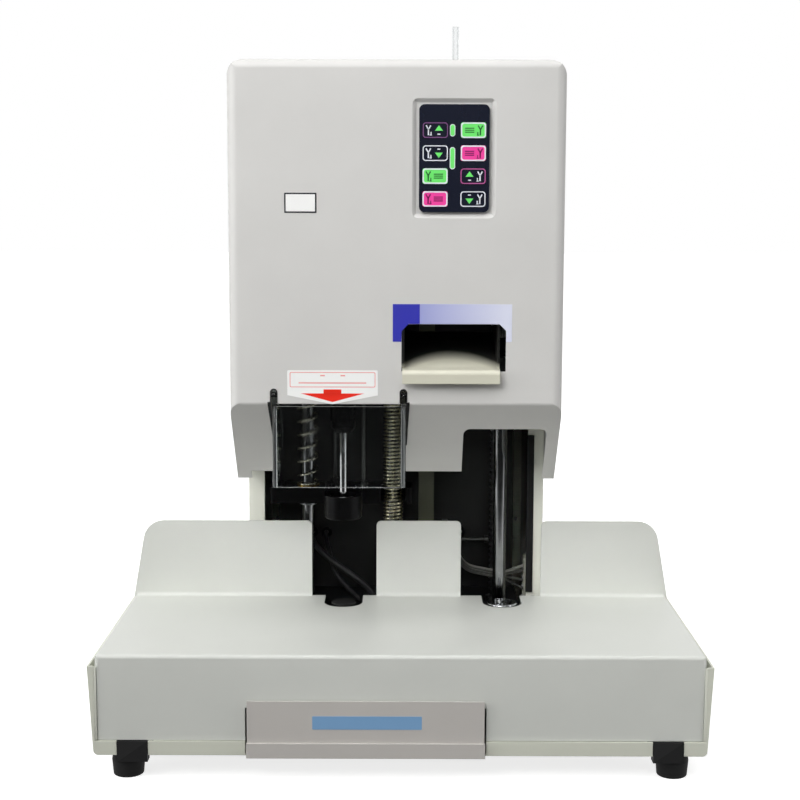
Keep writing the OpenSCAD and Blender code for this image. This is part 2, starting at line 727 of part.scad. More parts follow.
module upper_plate() {
  hw = frame_hw - 2;
  color("#3b3d40")
  difference() {
    union() {
      along_z(upper_z, upper_z + upper_t)
        polygon(rect_points(head_x - hw, station_y - 10, head_x + hw, plate_y + plate_t, 5));
      along_z(upper_z, upper_z + upper_t)
        polygon(rect_points(tube_x - tongue_hw, tube_y - 16, tube_x + tongue_hw, station_y + 10, 5));
    }
    for (p = [[guide_left_x, guide_d], [guide_right_x, guide_d], [rivet_x, rivet_guide_d]])
      post(p[1] + 0.04, upper_z - 1, upper_z + upper_t + 1, [p[0], guide_y]);
    for (x = [drill_screw_x, rivet_x])
      post(screw_d + 2 * run_gap, upper_z - 1, upper_z + upper_t + 1, [x, screw_y]);
    post(guide_tube_d + 0.1, upper_z - 1, upper_z + upper_t + 1, [tube_x, tube_y]);
  }
}
module column(d, x, collar_d, collar_h) {
  color("#dfe1e3") {
    post(d, frame_top_z - seat_depth, upper_z + upper_t, [x, guide_y]);
    post(collar_d, frame_top_z, frame_top_z + collar_h, [x, guide_y]);
  }
}
module feed_screw(x) {
  color("#c4c7ca") {
    post(screw_d, frame_top_z + 1, upper_z + upper_t, [x, screw_y]);
    post(screw_d - 4, frame_top_z - seat_depth + 1, frame_top_z + 2, [x, screw_y]);
    post(screw_d + 6, frame_top_z + fit_gap, frame_top_z + 5, [x, screw_y]);
  }
}
module feed_motor(x) {
  z0 = upper_z + upper_t;
  color("#6d7074") difference() {
    along_z(z0, z0 + 26) polygon(rect_points(x - 25, screw_y - 25, x + 25, screw_y + 25, 4));
    post(screw_d + 1, z0 - 1, z0 + 10, [x, screw_y]);
  }
  color("#26282b") {
    post(42, z0 + 26, z0 + 80, [x, screw_y]);
    post(36, z0 + 80, z0 + 86, [x, screw_y]);
  }
}

// ------------------------------------------------------------------ dies

module drill_anvil() {
  pocket = 8;
  color("#8f9296") difference() {
    union() {
      post(anvil_d, frame_top_z, die_top_z - pad_proud - 0.4, [drill_x, station_y]);
      post(anvil_d + 10, frame_top_z, frame_top_z + 4, [drill_x, station_y]);
    }
    post(pad_d + 0.1, die_top_z - pad_proud - pocket, table_h + 1, [drill_x, station_y]);
  }
}
module drill_pad() {
  pocket = 8;
  color("#e8e4d8")
  translate([drill_x, station_y, 0]) rotate_extrude() polygon([
    [0, die_top_z - pad_proud - pocket], [pad_d / 2, die_top_z - pad_proud - pocket],
    [pad_d / 2, die_top_z - 0.6], [pad_d / 2 - 0.6, die_top_z], [0, die_top_z]
  ]);
}
module lower_heater() {
  color("#1b1b1c") difference() {
    union() {
      post(heater_d, frame_top_z, table_h - 2, [rivet_x, station_y]);
      post(heater_d + 8, frame_top_z, frame_top_z + 4, [rivet_x, station_y]);
    }
    post(die_d - 5.9, frame_top_z + 3, table_h, [rivet_x, station_y]);
  }
}
module lower_die() {
  color("#d9dbdd")
  translate([rivet_x, station_y, 0]) rotate_extrude() polygon(rounded([
    [0, frame_top_z + 3, 0], [die_d / 2 - 3, frame_top_z + 3, 0], [die_d / 2 - 3, table_h - 2, 0],
    [die_d / 2, table_h - 2, 0], [die_d / 2, die_top_z, 1],
    [tube_d / 2 + 1.6, die_top_z, 0], [tube_d / 2, die_top_z - 1.4, 0], [1, die_top_z - 1, 0], [0,
        die_top_z - 0.4, 0]
  ]));
}

// ------------------------------------------------------------------ drill carriage

module carriage_outline() {
  x0 = guide_left_x - 15;
  x1 = guide_right_x + 15;
  polygon(rect_points(x0, guide_y - 11, x1, guide_y + 22, 4));
  polygon(rect_points(motor_x - motor_d / 2 - 4, guide_y + 10, x1, motor_y + motor_d / 2 + 5, 5));
  translate([drill_x, station_y]) circle(r = 22);
  polygon([[drill_x - 22, station_y], [drill_x + 22, station_y], [drill_x + 22, guide_y], [drill_x - 22,
      guide_y]]);
}
module drill_carriage() {
  color("#34363a") difference() {
    union() {
      along_z(carriage_z, carriage_top_z) carriage_outline();
      post(bearing_d + 8, carriage_top_z - 1, housing_top_z, [drill_x, station_y]);
    }
    for (x = [guide_left_x, guide_right_x])
      post(guide_d + 2 * run_gap, carriage_z - 1, carriage_top_z + 1, [x, guide_y]);
    post(screw_d + 2 * run_gap, carriage_z - 1, carriage_top_z + 1, [drill_screw_x, screw_y]);
    for (p = rod_spots) post(rod_d + 2 * run_gap, carriage_z - 1, carriage_top_z + 1, p);
    post(spindle_d + 3, carriage_z - 1, housing_top_z + 1, [drill_x, station_y]);
    post(bearing_d, carriage_z - 1, carriage_z + bearing_h, [drill_x, station_y]);
    post(bearing_d, housing_top_z - bearing_h, housing_top_z + 1, [drill_x, station_y]);
  }
}
module spindle_bearings() {
  color("#c9ccd0")
  for (z = [carriage_z, housing_top_z - bearing_h]) difference() {
    post(bearing_d, z, z + bearing_h, [drill_x, station_y]);
    post(spindle_d + 2 * run_gap, z - 1, z + bearing_h + 1, [drill_x, station_y]);
  }
}
module pulley(r, bore, at) {
  translate([at[0], at[1], pulley_z]) difference() {
    union() {
      cylinder(r = r, h = pulley_h);
      for (z = [-1.5, pulley_h]) translate([0, 0, z]) cylinder(r = r + 2.5, h = 1.5);
    }
    translate([0, 0, -3]) cylinder(d = bore, h = pulley_h + 6);
  }
}
module drill_spindle() {
  bore = bit_d + 0.5;
  color("#aeb2b6") difference() {
    union() {
      post(spindle_d, carriage_z - 4, pulley_z + pulley_h + 4, [drill_x, station_y]);
      pulley(spindle_pulley_r, 2, [drill_x, station_y]);
    }
    post(bore, carriage_z - 5, pulley_z + pulley_h + 5, [drill_x, station_y]);
  }
}
module drill_chuck() {
  color("#232427") difference() {
    translate([drill_x, station_y, 0]) rotate_extrude() polygon([
      [0, chuck_z], [chuck_d / 2 - 3, chuck_z], [chuck_d / 2, chuck_z + 4],
      [chuck_d / 2, carriage_z - 4], [0, carriage_z - 4]
    ]);
    post(bit_d + 0.02, chuck_z - 1, carriage_z, [drill_x, station_y]);
  }
}
module drill_bit() {
  color("#dcdee0") difference() {
    translate([drill_x, station_y, 0]) rotate_extrude() polygon([
      [0, foot_z + fit_gap], [bit_d / 2 - 0.6, foot_z + fit_gap], [bit_d / 2, foot_z + 3],
      [bit_d / 2, carriage_z - 6], [0, carriage_z - 6]
    ]);
    post(bit_d - 1.5, foot_z - 1, carriage_z, [drill_x, station_y]);
  }
}
module drill_motor() {
  color("#2b2d30") difference() {
    union() {
      post(motor_d, carriage_top_z, carriage_top_z + 62, [motor_x, motor_y]);
      post(motor_d - 10, carriage_top_z + 62, carriage_top_z + 68, [motor_x, motor_y]);
    }
    for (i = [0:7]) translate([motor_x, motor_y, 0]) rotate(i * 45 + 20)
      translate([motor_d / 2, 0, carriage_top_z + 14]) cylinder(d = 3, h = 34);
    post(6 + 2 * run_gap, carriage_top_z + 40, carriage_top_z + 90, [motor_x, motor_y]);
  }
}
module motor_pulley() {
  color("#aeb2b6") {
    pulley(motor_pulley_r, 2, [motor_x, motor_y]);
    post(6, carriage_top_z + 41, pulley_z + pulley_h, [motor_x, motor_y]);
  }
}
// Loop of a flat belt round two circles, seen from above
module belt_loop(grow) {
  a = [drill_x, station_y];
  b = [motor_x, motor_y];
  ra = spindle_pulley_r + grow;
  rb = motor_pulley_r + grow;
  span = norm(b - a);
  dir = atan2(b[1] - a[1], b[0] - a[0]);
  lean = acos((ra - rb) / span);
  translate(a) circle(r = ra, $fn = 64);
  translate(b) circle(r = rb, $fn = 64);
  polygon([
    a + ra * [cos(dir + lean), sin(dir + lean)], a + ra * [cos(dir - lean), sin(dir - lean)],
    b + rb * [cos(dir - lean), sin(dir - lean)], b + rb * [cos(dir + lean), sin(dir + lean)]
  ]);
}
module drill_belt() {
  color("#151515") along_z(pulley_z + 1, pulley_z + pulley_h - 1) difference() {
    belt_loop(belt_t + run_gap);
    belt_loop(run_gap);
  }
}

// ------------------------------------------------------------------ press

fork_w = return_spring_d + return_wire + 4;
module press_bar() {
  x0 = head_x - shell_hw + shell_flange + 4.5;
  x1 = guide_right_x + fork_w / 2 + 5;
  y0 = shell_y - 1;
  y1 = guide_y + 17;
  color("#131416") difference() {
    union() {
      along_z(bar_z, bar_top_z) polygon(rect_points(x0, y0, x1, y1, 2));
      along_z(bar_z, bar_top_z) {
        translate([drill_x, station_y]) circle(d = press_foot_d);
        polygon([[drill_x - press_foot_d / 2, station_y], [drill_x + press_foot_d / 2, station_y],
                 [drill_x + press_foot_d / 2, y0 + 3], [drill_x - press_foot_d / 2, y0 + 3]]);
      }
    }
    post(guide_d + 2 * run_gap, bar_z - 1, bar_top_z + 1, [guide_left_x, guide_y]);
    post(chuck_d + 2, bar_z - 1, bar_top_z + 1, [drill_x, station_y]);
    // fork round the return spring, open to the front
    post(fork_w, bar_z - 1, bar_top_z + 1, [guide_right_x, guide_y]);
    block([guide_right_x - fork_w / 2, y0 - 1, bar_z - 1], [guide_right_x + fork_w / 2, guide_y,
        bar_top_z + 1]);
  }
}
module press_foot() {
  color("#131416") difference() {
    translate([drill_x, station_y, 0]) rotate_extrude() polygon([
      [0, foot_z], [press_foot_d / 2 - 1.2, foot_z], [press_foot_d / 2, foot_z + 1.2],
      [press_foot_d / 2, bar_z], [0, bar_z]
    ]);
    post(chuck_d + 2, foot_z - 1, bar_z + 1, [drill_x, station_y]);
  }
}
module tie_rods() {
  nut_d = 7;
  nut_h = 5;
  top = carriage_top_z + 8;
  color("#c3c6c9") for (p = rod_spots) {
    post(rod_d, bar_top_z, top, p);
    translate([p[0], p[1], bar_top_z]) cylinder(d = nut_d, h = nut_h, $fn = 6);
    translate([p[0], p[1], carriage_top_z + fit_gap]) cylinder(d = nut_d, h = nut_h, $fn = 6);
  }
}
module press_spring() {
  color("#8e8c7f") coil(press_spring_d, press_wire, bar_top_z, carriage_z, press_turns, [guide_left_x,
      guide_y]);
}
module return_spring() {
  color("#8e8c7f") coil(return_spring_d, return_wire, frame_top_z, carriage_z, return_turns,
      [guide_right_x, guide_y]);
}
echo("least gap of the press spring",
     coil_gap(coil_path(press_spring_d, press_wire, bar_top_z, carriage_z, press_turns), press_wire));
echo("least gap of the return spring",
     coil_gap(coil_path(return_spring_d, return_wire, frame_top_z, carriage_z, return_turns), return_wire));

// ------------------------------------------------------------------ rivet arm

arm_hw = 20;
die_shank_d = 12;
module rivet_arm() {
  color("#34363a") difference() {
    union() {
      along_z(carriage_z, carriage_top_z)
        polygon(rect_points(rivet_x - arm_hw, guide_y - 16, rivet_x + arm_hw, screw_y + 16, 6));
      along_z(carriage_z, carriage_z + 18) {
        translate([rivet_x, station_y]) circle(r = 17);
        polygon([[rivet_x - 17, station_y], [rivet_x + 17, station_y], [rivet_x + 17, guide_y],
            [rivet_x - 17, guide_y]]);
      }
    }
    post(rivet_guide_d + 2 * run_gap, carriage_z - 1, carriage_top_z + 1, [rivet_x, guide_y]);
    post(screw_d + 2 * run_gap, carriage_z - 1, carriage_top_z + 1, [rivet_x, screw_y]);
    post(die_shank_d + 0.04, carriage_z - 1, carriage_z + 19, [rivet_x, station_y]);
  }
}
module upper_die() {
  tip = upper_die_z;
  color("#d9dbdd")
  translate([rivet_x, station_y, 0]) rotate_extrude() polygon([
    [0, tip], [2, tip], [tube_d / 2, tip + 0.8], [tube_d / 2 + 2.5, tip + 0.8], [die_d / 2 - 6, tip + 4],
        [die_d / 2 - 6, tip + 8],
    [die_d / 2, tip + 9], [die_d / 2, carriage_z], [die_shank_d / 2, carriage_z], [die_shank_d / 2,
        carriage_z + 18], [0, carriage_z + 18]
  ]);
}

// ------------------------------------------------------------------ tube feed

guide_tube_d = tube_d + 4;
guide_hole_d = guide_tube_d + 0.2;
cutter_hw = 16;
cutter_hd = 12;
module nylon_tube() {
  color("#f1f3f3") difference() {
    post(tube_d, tube_bottom_z, tube_top_z, [tube_x, tube_y]);
    post(tube_d - 1.8, tube_bottom_z - 1, tube_top_z + 1, [tube_x, tube_y]);
  }
}
module tube_guide() {
  color("#c4c7ca") difference() {
    union() {
      post(guide_tube_d, cutter_z + cutter_t, head_top + 1.5, [tube_x, tube_y]);
      post(guide_tube_d + 5, head_top, head_top + 1.5, [tube_x, tube_y]);
    }
    post(tube_d + 2 * run_gap, cutter_z, head_top + 3, [tube_x, tube_y]);
  }
}
module cutter_block() {
  web_t = 5;
  slot = 0.1;
  color("#55585c") difference() {
    union() {
      block([tube_x - cutter_hw, tube_y - cutter_hd, cutter_z], [tube_x + cutter_hw, tube_y + cutter_hd,
          cutter_z + cutter_t]);
      block([tube_x - cutter_hw, tube_y - cutter_hd, cutter_z + cutter_t - 1], [tube_x + cutter_hw,
          tube_y - cutter_hd + web_t, upper_z]);
    }
    post(tube_d + 2 * run_gap, cutter_z - 1, cutter_z + cutter_t + 1, [tube_x, tube_y]);
    block([tube_x - blade_hw - 1, tube_y - blade_hw - slot, blade_z - slot],
          [tube_x + cutter_hw + 1, tube_y + blade_hw + slot, blade_z + blade_t + slot]);
  }
}
blade_hw = 6;
module cutter_blade() {
  edge = tube_x + tube_d / 2 + 0.8;
  back = tube_x + cutter_hw + 8;
  color("#d5d8da") along_z(blade_z, blade_z + blade_t) polygon([
    [edge + 4, tube_y - blade_hw], [back, tube_y - blade_hw], [back, tube_y + blade_hw], [edge,
        tube_y + blade_hw]
  ]);
}
module cutter_solenoid() {
  x0 = tube_x + cutter_hw + fit_gap;
  x1 = x0 + 12;
  z0 = cutter_z - 6;
  color("#3a3c70") difference() {
    union() {
      block([x1, tube_y - 11, z0], [x1 + 26, tube_y + 11, z0 + 24]);
      block([x0 - fit_gap, tube_y - 11, z0 + 18], [x1 + 1, tube_y + 11, z0 + 21]);
    }
    block([x0 - 5, tube_y - blade_hw - 1, blade_z - 1], [x1 + 20, tube_y + blade_hw + 1,
        blade_z + blade_t + 1]);
  }
}
module tube_chute() {
  t = 1.5;
  x0 = outlet_x0 + 0.5;
  x1 = x0 + chute_w;
  lip = face_y - 7;
  lip_top = outlet_z + 1.5;
  lip_low = outlet_z - 8.5;
  rear = tube_y + cutter_hd;
  rise = 23;
  color("#dcdac4") {
    // floor with its folded front lip
    along_x(x0, x1) polygon(rounded([
      [rear, lip_top + rise, 0], [face_y + 6, lip_top + 1, 25], [lip, lip_top, 4], [lip, lip_low, 0],
      [lip + t, lip_low, 0], [lip + t, lip_top - t, 2.5], [face_y + 6, lip_top + 1 - t, 25],
      [rear, lip_top + rise - t, 0]
    ]));
    // cheeks
    for (x = [x0, x1 - t]) along_x(x, x + t) polygon([
      [face_y + 2, lip_top], [face_y + 8, lip_top + 1], [rear, lip_top + rise - 0.5], [rear,
          outlet_top_z - 2], [face_y + 2, outlet_top_z - 2]
    ]);
    // flanges that are screwed behind the face
    block([x0 - 6, face_y + sheet_t, outlet_z + 3], [x0 + 0.5, face_y + sheet_t + t, outlet_top_z - 2]);
    block([x0 + 8, face_y + sheet_t, lip_low], [x1 - 4, face_y + sheet_t + t, lip_top]);
  }
}

// ------------------------------------------------------------------ shield

module safety_shield() {
  z0 = pin_z - shield_drop;
  z1 = bend_z - 2;
  color([0.85, 0.9, 0.92, 0.35])
  union() {
    // front sheet
    block([drill_x - shield_w / 2, face_y, z0], [drill_x + shield_w / 2, face_y + shield_t, z1]);
    // a bellied wing at each side, with the ear that hangs on the pin
    for (s = [-1, 1]) {
      x0 = drill_x + s * slot_dx - shield_t / 2;
      difference() {
        union() {
          along_x(x0, x0 + shield_t) polygon([
            for (a = [-90:7.5:90])
              [face_y + wing_d * cos(a), (z0 + z1) / 2 + (z1 - z0) / 2 * sin(a)]
          ]);
          cross_pin(2 * ear_r, x0, x0 + shield_t, [pin_y, pin_z]);
          block([x0, pin_y - ear_r, z1 - 2], [x0 + shield_t, pin_y + ear_r, pin_z]);
        }
        cross_pin(pin_d + 2 * run_gap, x0 - 1, x0 + shield_t + 1, [pin_y, pin_z]);
      }
    }
  }
}
module shield_pins() {
  color("#b9babb") for (s = [-1, 1]) {
    x = drill_x + s * slot_dx;
    a = x + s * (ear_out + ear_t);
    b = x - s * (shield_t / 2 + fit_gap);
    cross_pin(pin_d, min(a, b), max(a, b), [pin_y, pin_z]);
    cross_pin(pin_d + 2.5, min(b, b - s * 2), max(b, b - s * 2), [pin_y, pin_z]);
    cross_pin(pin_d + 2.5, min(a, a + s * 1.5), max(a, a + s * 1.5), [pin_y, pin_z]);
  }
}

// ------------------------------------------------------------------ keypad

module key_shape(col, row, g, y0, y1) {
  x = pad_x + (col == 0 ? -key_dx : key_dx);
  z = key_z0 - row * key_pitch;
  along_y(y0, y1) polygon(rect_points(x - key_w / 2 - g, z - key_h / 2 - g, x + key_w / 2 + g,
      z + key_h / 2 + g, 1.6));
}
panel_y = face_y + pad_depth - panel_t;
key_y = panel_y - 0.2;                  // keys stand just proud of the panel
module keypad_panel() {
  color("#171a28") difference() {
    along_y(panel_y, face_y + pad_depth)
      polygon(rect_points(pad_x - panel_w / 2, pad_z - panel_h / 2, pad_x + panel_w / 2,
          pad_z + panel_h / 2, 4));
    for (c = [0, 1], r = [0:3]) key_shape(c, r, key_gap, panel_y - 1, key_y + key_t + key_travel + 0.4);
  }
}
module key(col, row) {
  color(col == row % 2 ? "#ff52b0" : "#7cf57c") key_shape(col, row, 0, key_y, key_y + key_t);
}

// ------------------------------------------------------------------ drawer

drawer_front_h = 31;
drawer_tray_h = 27;
module scrap_drawer() {
  t = 1.2;
  x0 = drawer_x - drawer_w / 2;
  x1 = drawer_x + drawer_w / 2;
  tray0 = x0 + 13;
  tray1 = x1 - 9;
  y0 = front_y - drawer_proud + 1.5;
  z0 = pan_floor_z + fit_gap;
  z1 = z0 + drawer_tray_h;
  color("#c5c1be") difference() {
    union() {
      block([x0, y0, drawer_low_z], [x1, y0 + t, drawer_low_z + drawer_front_h]);
      block([x0, y0, drawer_low_z - 2], [x1, y0 + 3.5, drawer_low_z]);
      // handle strip along the lower edge
      block([x0 - 0.5, -base_d / 2, foot_h - 1], [x1 + 0.5, -base_d / 2 + t, drawer_low_z]);
      block([x0 - 0.5, -base_d / 2, drawer_low_z - 1.2], [x1 + 0.5, y0 + t, drawer_low_z]);
      block([tray0, y0, z0], [tray1, y0 + drawer_d, z1]);
    }
    block([tray0 + t, y0 + t, z0 + t], [tray1 - t, y0 + drawer_d - t, z1 + 1]);
  }
}

// ------------------------------------------------------------------ electrics

inlet_w = 58;
inlet_h = 30;
module power_inlet() {
  y1 = cover_back_y + sheet_t;
  t = 2.5;
  socket = [inlet_x - 13, inlet_z];
  color("#1a1a1b") difference() {
    union() {
      along_y(y1, y1 + t)
        polygon(rect_points(inlet_x - inlet_w / 2, inlet_z - inlet_h / 2, inlet_x + inlet_w / 2,
            inlet_z + inlet_h / 2, 3));
      block([inlet_x - inlet_w / 2 + 3.5, y1 - 24, inlet_z - inlet_h / 2 + 3.5],
            [inlet_x + inlet_w / 2 - 3.5, y1 + 1, inlet_z + inlet_h / 2 - 3.5]);
    }
    along_y(y1 - 16, y1 + t + 1)
      polygon(rounded([[socket[0] - 12, socket[1] - 8, 1], [socket[0] + 12, socket[1] - 8, 1],
                       [socket[0] + 12, socket[1] + 3, 0], [socket[0] + 7, socket[1] + 8, 0],
                       [socket[0] - 7, socket[1] + 8, 0], [socket[0] - 12, socket[1] + 3, 0]]));
    block([rocker_x - rocker_w / 2, y1 - 12, inlet_z - rocker_h / 2], 
        [rocker_x + rocker_w / 2, y1 + t + 1, inlet_z + rocker_h / 2]);
    cross_pin(2.4 + 2 * run_gap, rocker_x - rocker_w / 2 - 2, rocker_x + rocker_w / 2 + 2,
        [y1 - 3, inlet_z]);
  }
  color("#c9a34a") for (p = [[-7, -2], [7, -2], [0, 3]])
    block([socket[0] + p[0] - 1, y1 - 16.5, socket[1] + p[1] - 2], [socket[0] + p[0] + 1, y1 - 4,
        socket[1] + p[1] + 2]);
}
rocker_w = 14;
rocker_h = 20;
rocker_x = inlet_x + 14;
module rocker_switch() {
  y1 = cover_back_y + sheet_t;
  g = 0.4;
  color("#141414") {
    along_x(rocker_x - rocker_w / 2 + g, rocker_x + rocker_w / 2 - g) polygon([
      [y1 - 5, inlet_z - rocker_h / 2 + 1.6], [y1 + 2.2, inlet_z - rocker_h / 2 + 1.6], [y1 + 3.4, inlet_z],
      [y1 + 5, inlet_z + rocker_h / 2 - 2.4], [y1 - 5, inlet_z + rocker_h / 2 - 1.6]
    ]);
    cross_pin(2.4, rocker_x - rocker_w / 2 - 1.5, rocker_x + rocker_w / 2 + 1.5, [y1 - 3, inlet_z]);
  }
}
module control_board() {
  y0 = plate_y + plate_t;
  w = 130;
  h = 120;
  x0 = head_x - w / 2 - 5;
  z0 = upper_z - 200;
  chip_pitch = w / 4 - 2.5;
  color("#1f6b3a") {
    block([x0, y0 + 8, z0], [x0 + w, y0 + 9.6, z0 + h]);
    for (x = [x0 + 6, x0 + w - 6], z = [z0 + 6, z0 + h - 6])
      lying(6, y0, y0 + 8.5, [x, z]);
  }
  color("#2b2b2c")
    for (i = [0:3])
      block([x0 + 12 + i * chip_pitch, y0 + 9, z0 + 15], [x0 + 30 + i * chip_pitch, y0 + 22, z0 + 40]);
  color("#d8d8d2")
    for (i = [0:2])
      lying(16, y0 + 9, y0 + 34, [x0 + 25 + i * 36, z0 + 85]);
}
module transformer() {
  x = head_x + 50;
  y = (plate_y + plate_t + cover_back_y) / 2;
  z = pan_floor_z;
  color("#4a4b4f") {
    block([x - 28, y - 23, z], [x + 28, y + 23, z + 3]);
    block([x - 24, y - 10, z + 2], [x + 24, y + 10, z + 46]);
  }
  color("#b5742f") along_z(z + 9, z + 39) polygon(rect_points(x - 15, y - 19, x + 15, y + 19, 5));
}
// Cables come through the back plate: sideways place and diameter
glands = [[drill_x - 33, 5], [drill_x - 20, 4], [rivet_x - 32, 9]];
gland_z = table_h + 29;
cable_end_z = frame_top_z + 0.4;
strip_x = head_x + shell_hw - shell_flange;
module wire_harness() {
  y0 = plate_y;
  y1 = plate_y + plate_t;
  z = gland_z;
  a = glands[0];
  b = glands[1];
  c = glands[2];
  color("#141415") {
    cable(a[1], [
      [a[0], y1, z], [a[0], y0 - 12, z], [drill_x - 27.5, guide_y + 46, z - 1],
      [drill_x - 15.5, guide_y + 30, z - 9], [drill_x + 2.5, guide_y + 25, z - 21],
      [drill_x + 16.5, guide_y + 24, z - 32], [drill_x + 23.5, guide_y + 25, cable_end_z + 7],
      [drill_x + 24.5, guide_y + 25, cable_end_z]
    ], [1, 0, 0.3]);
    cable(b[1], [
      [b[0], y1, z], [b[0], y0 - 16, z - 1], [drill_x - 15.5, guide_y + 52, z - 10],
      [drill_x - 9.5, guide_y + 37, z - 24], [drill_x + 0.5, guide_y + 34, z - 36],
      [drill_x + 8.5, guide_y + 35, z - 44], [drill_x + 10.5, guide_y + 35, cable_end_z]
    ], [1, 0, 0.3]);
  }
  color("#d9d9d2")
    cable(c[1], [
      [c[0], y1, z], [c[0], y0 - 18, z - 2], [rivet_x - 32.5, guide_y + 44, z - 10],
      [rivet_x - 25.5, guide_y + 26, z - 16], [rivet_x - 10.5, guide_y + 21, z - 19],
      [rivet_x + 7.5, guide_y + 21, z - 22], [strip_x + 1, guide_y + 22, z - 24]
    ], [0, 0, 1]);
  // terminal strip on the lower frame
  color("#8e9a6a")
    block([strip_x, guide_y + 14, frame_top_z], [strip_x + 7, guide_y + 32, z - 5]);
}

// ------------------------------------------------------------------ nodes

base_pan();
rubber_feet();
table_cover();
column_shell();
rear_cover();
head_cover();
lower_frame();
back_plate();
centre_strut();
upper_plate();
column(guide_d, guide_left_x, guide_d + 2, 3);  // guide_column_left
column(guide_d, guide_right_x, guide_d + 2, 3);  // guide_column_right
column(rivet_guide_d, rivet_x, rivet_guide_d + 3, 8);  // rivet_column
drill_anvil();
drill_pad();
lower_die();
lower_heater();
feed_motor(drill_screw_x);  // drill_feed_motor
feed_motor(rivet_x);  // rivet_feed_motor
feed_screw(drill_screw_x);  // drill_screw
feed_screw(rivet_x);  // rivet_screw
drill_carriage();
drill_motor();
motor_pulley();
drill_belt();
drill_spindle();
spindle_bearings();
drill_chuck();
drill_bit();
press_bar();
press_foot();
tie_rods();
press_spring();
return_spring();
rivet_arm();
upper_die();
nylon_tube();
tube_guide();
cutter_block();
cutter_blade();
cutter_solenoid();
tube_chute();
safety_shield();
shield_pins();
keypad_panel();
key(0, 0);  // key_left_1
key(0, 1);  // key_left_2
key(0, 2);  // key_left_3
key(0, 3);  // key_left_4
key(1, 0);  // key_right_1
key(1, 1);  // key_right_2
key(1, 2);  // key_right_3
key(1, 3);  // key_right_4
scrap_drawer();
power_inlet();
rocker_switch();
control_board();
transformer();
wire_harness();
cover_screws();
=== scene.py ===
# %% [markdown]
# # A document riveting machine
# The machine drills a stack of paper at its left station and rivets it with
# nylon tube at its right one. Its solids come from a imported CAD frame. They get
# real finishes here, and what a solid modeller leaves plain is added: springs,
# cables, threads, printed films and small fasteners.

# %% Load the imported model
import json
from math import cos, pi, radians, sin

import bmesh
import bpy
import numpy as np
from mathutils import Matrix, Vector

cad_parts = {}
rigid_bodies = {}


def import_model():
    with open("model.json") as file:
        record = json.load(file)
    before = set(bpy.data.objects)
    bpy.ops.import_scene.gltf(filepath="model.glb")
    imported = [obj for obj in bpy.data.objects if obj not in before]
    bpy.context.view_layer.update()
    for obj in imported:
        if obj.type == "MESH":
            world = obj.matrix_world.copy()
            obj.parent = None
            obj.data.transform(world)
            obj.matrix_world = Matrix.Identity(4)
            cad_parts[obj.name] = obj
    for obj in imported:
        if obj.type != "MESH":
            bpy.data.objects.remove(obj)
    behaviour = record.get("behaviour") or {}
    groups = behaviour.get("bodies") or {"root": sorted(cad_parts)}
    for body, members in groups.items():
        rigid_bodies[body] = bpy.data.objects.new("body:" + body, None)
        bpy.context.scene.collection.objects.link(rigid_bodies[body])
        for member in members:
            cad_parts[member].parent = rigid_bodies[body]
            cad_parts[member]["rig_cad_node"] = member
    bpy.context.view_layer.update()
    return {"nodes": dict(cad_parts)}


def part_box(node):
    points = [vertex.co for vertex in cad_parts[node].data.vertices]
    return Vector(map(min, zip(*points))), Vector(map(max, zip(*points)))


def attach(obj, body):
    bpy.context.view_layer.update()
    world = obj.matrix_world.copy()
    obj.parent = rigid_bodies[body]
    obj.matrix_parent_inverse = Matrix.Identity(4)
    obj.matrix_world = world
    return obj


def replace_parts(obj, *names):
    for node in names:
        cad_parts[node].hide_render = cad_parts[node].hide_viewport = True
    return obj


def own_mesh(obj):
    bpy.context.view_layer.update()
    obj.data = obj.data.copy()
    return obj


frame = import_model()
nodes = frame["nodes"]
MM = 0.001

# %% [markdown]
# The camera stands where the photographer's stood, 1.24 m in front of the
# machine and level with its head. Its lens of 67.5 mm, on a 36 mm sensor, looks
# down by 7.4 degrees.


# %% Camera
def shown(name, data):
    """Puts an object with this data into the scene."""
    made = bpy.data.objects.new(name, data)
    bpy.context.scene.collection.objects.link(made)
    return made


bpy.context.scene.view_settings.view_transform = "Standard"
camera_data = bpy.data.cameras.new("camera")
camera_data.lens, camera_data.sensor_width, camera_data.clip_start = 67.5, 36, 0.05
camera = shown("camera", camera_data)
bpy.context.scene.camera = camera
camera_place, look_down, roll = (-0.0010, -1.2375, 0.4131), radians(7.39), radians(0.17)
camera.matrix_world = (
    Matrix.Translation(camera_place)
    @ Matrix.Rotation(pi / 2 - look_down, 4, "X")
    @ Matrix.Rotation(roll, 4, "Z")
)

# %% [markdown]
# The machine stands on a pale floor that runs back into a white backdrop, and
# the room in front is dim, as in a studio. The floor is diffuse and takes the
# soft shadow under the pan. What the camera sees of it is lifted to white, and
# so is the near part that metal and glass mirror. This adds no light on the
# machine.


# %% Helpers for colours and nodes
def linear(hex_code):
    """An sRGB colour such as "#d0cfcb" as the linear RGBA that shaders take."""
    parts = [int(hex_code[i : i + 2], 16) / 255 for i in (1, 3, 5)]
    return tuple(c / 12.92 if c <= 0.04045 else ((c + 0.055) / 1.055) ** 2.4 for c in parts) + (1.0,)


def scaled(colour, factor, plus=0.0):
    return tuple(min(1, c * factor + plus) for c in colour[:3]) + (1.0,)


def add(tree, kind, inputs=None, **settings):
    """Adds a node with its settings. An input that is a node or a socket is linked, any other is a value."""
    node = tree.nodes.new("ShaderNode" + kind)
    for name, value in settings.items():
        setattr(node, name, value)
    for name, value in (inputs or {}).items():
        if isinstance(value, bpy.types.Node):
            value = next(socket for socket in value.outputs if socket.enabled)
        if isinstance(value, bpy.types.NodeSocket):
            tree.links.new(value, node.inputs[name])
        else:
            node.inputs[name].default_value = value
    return node


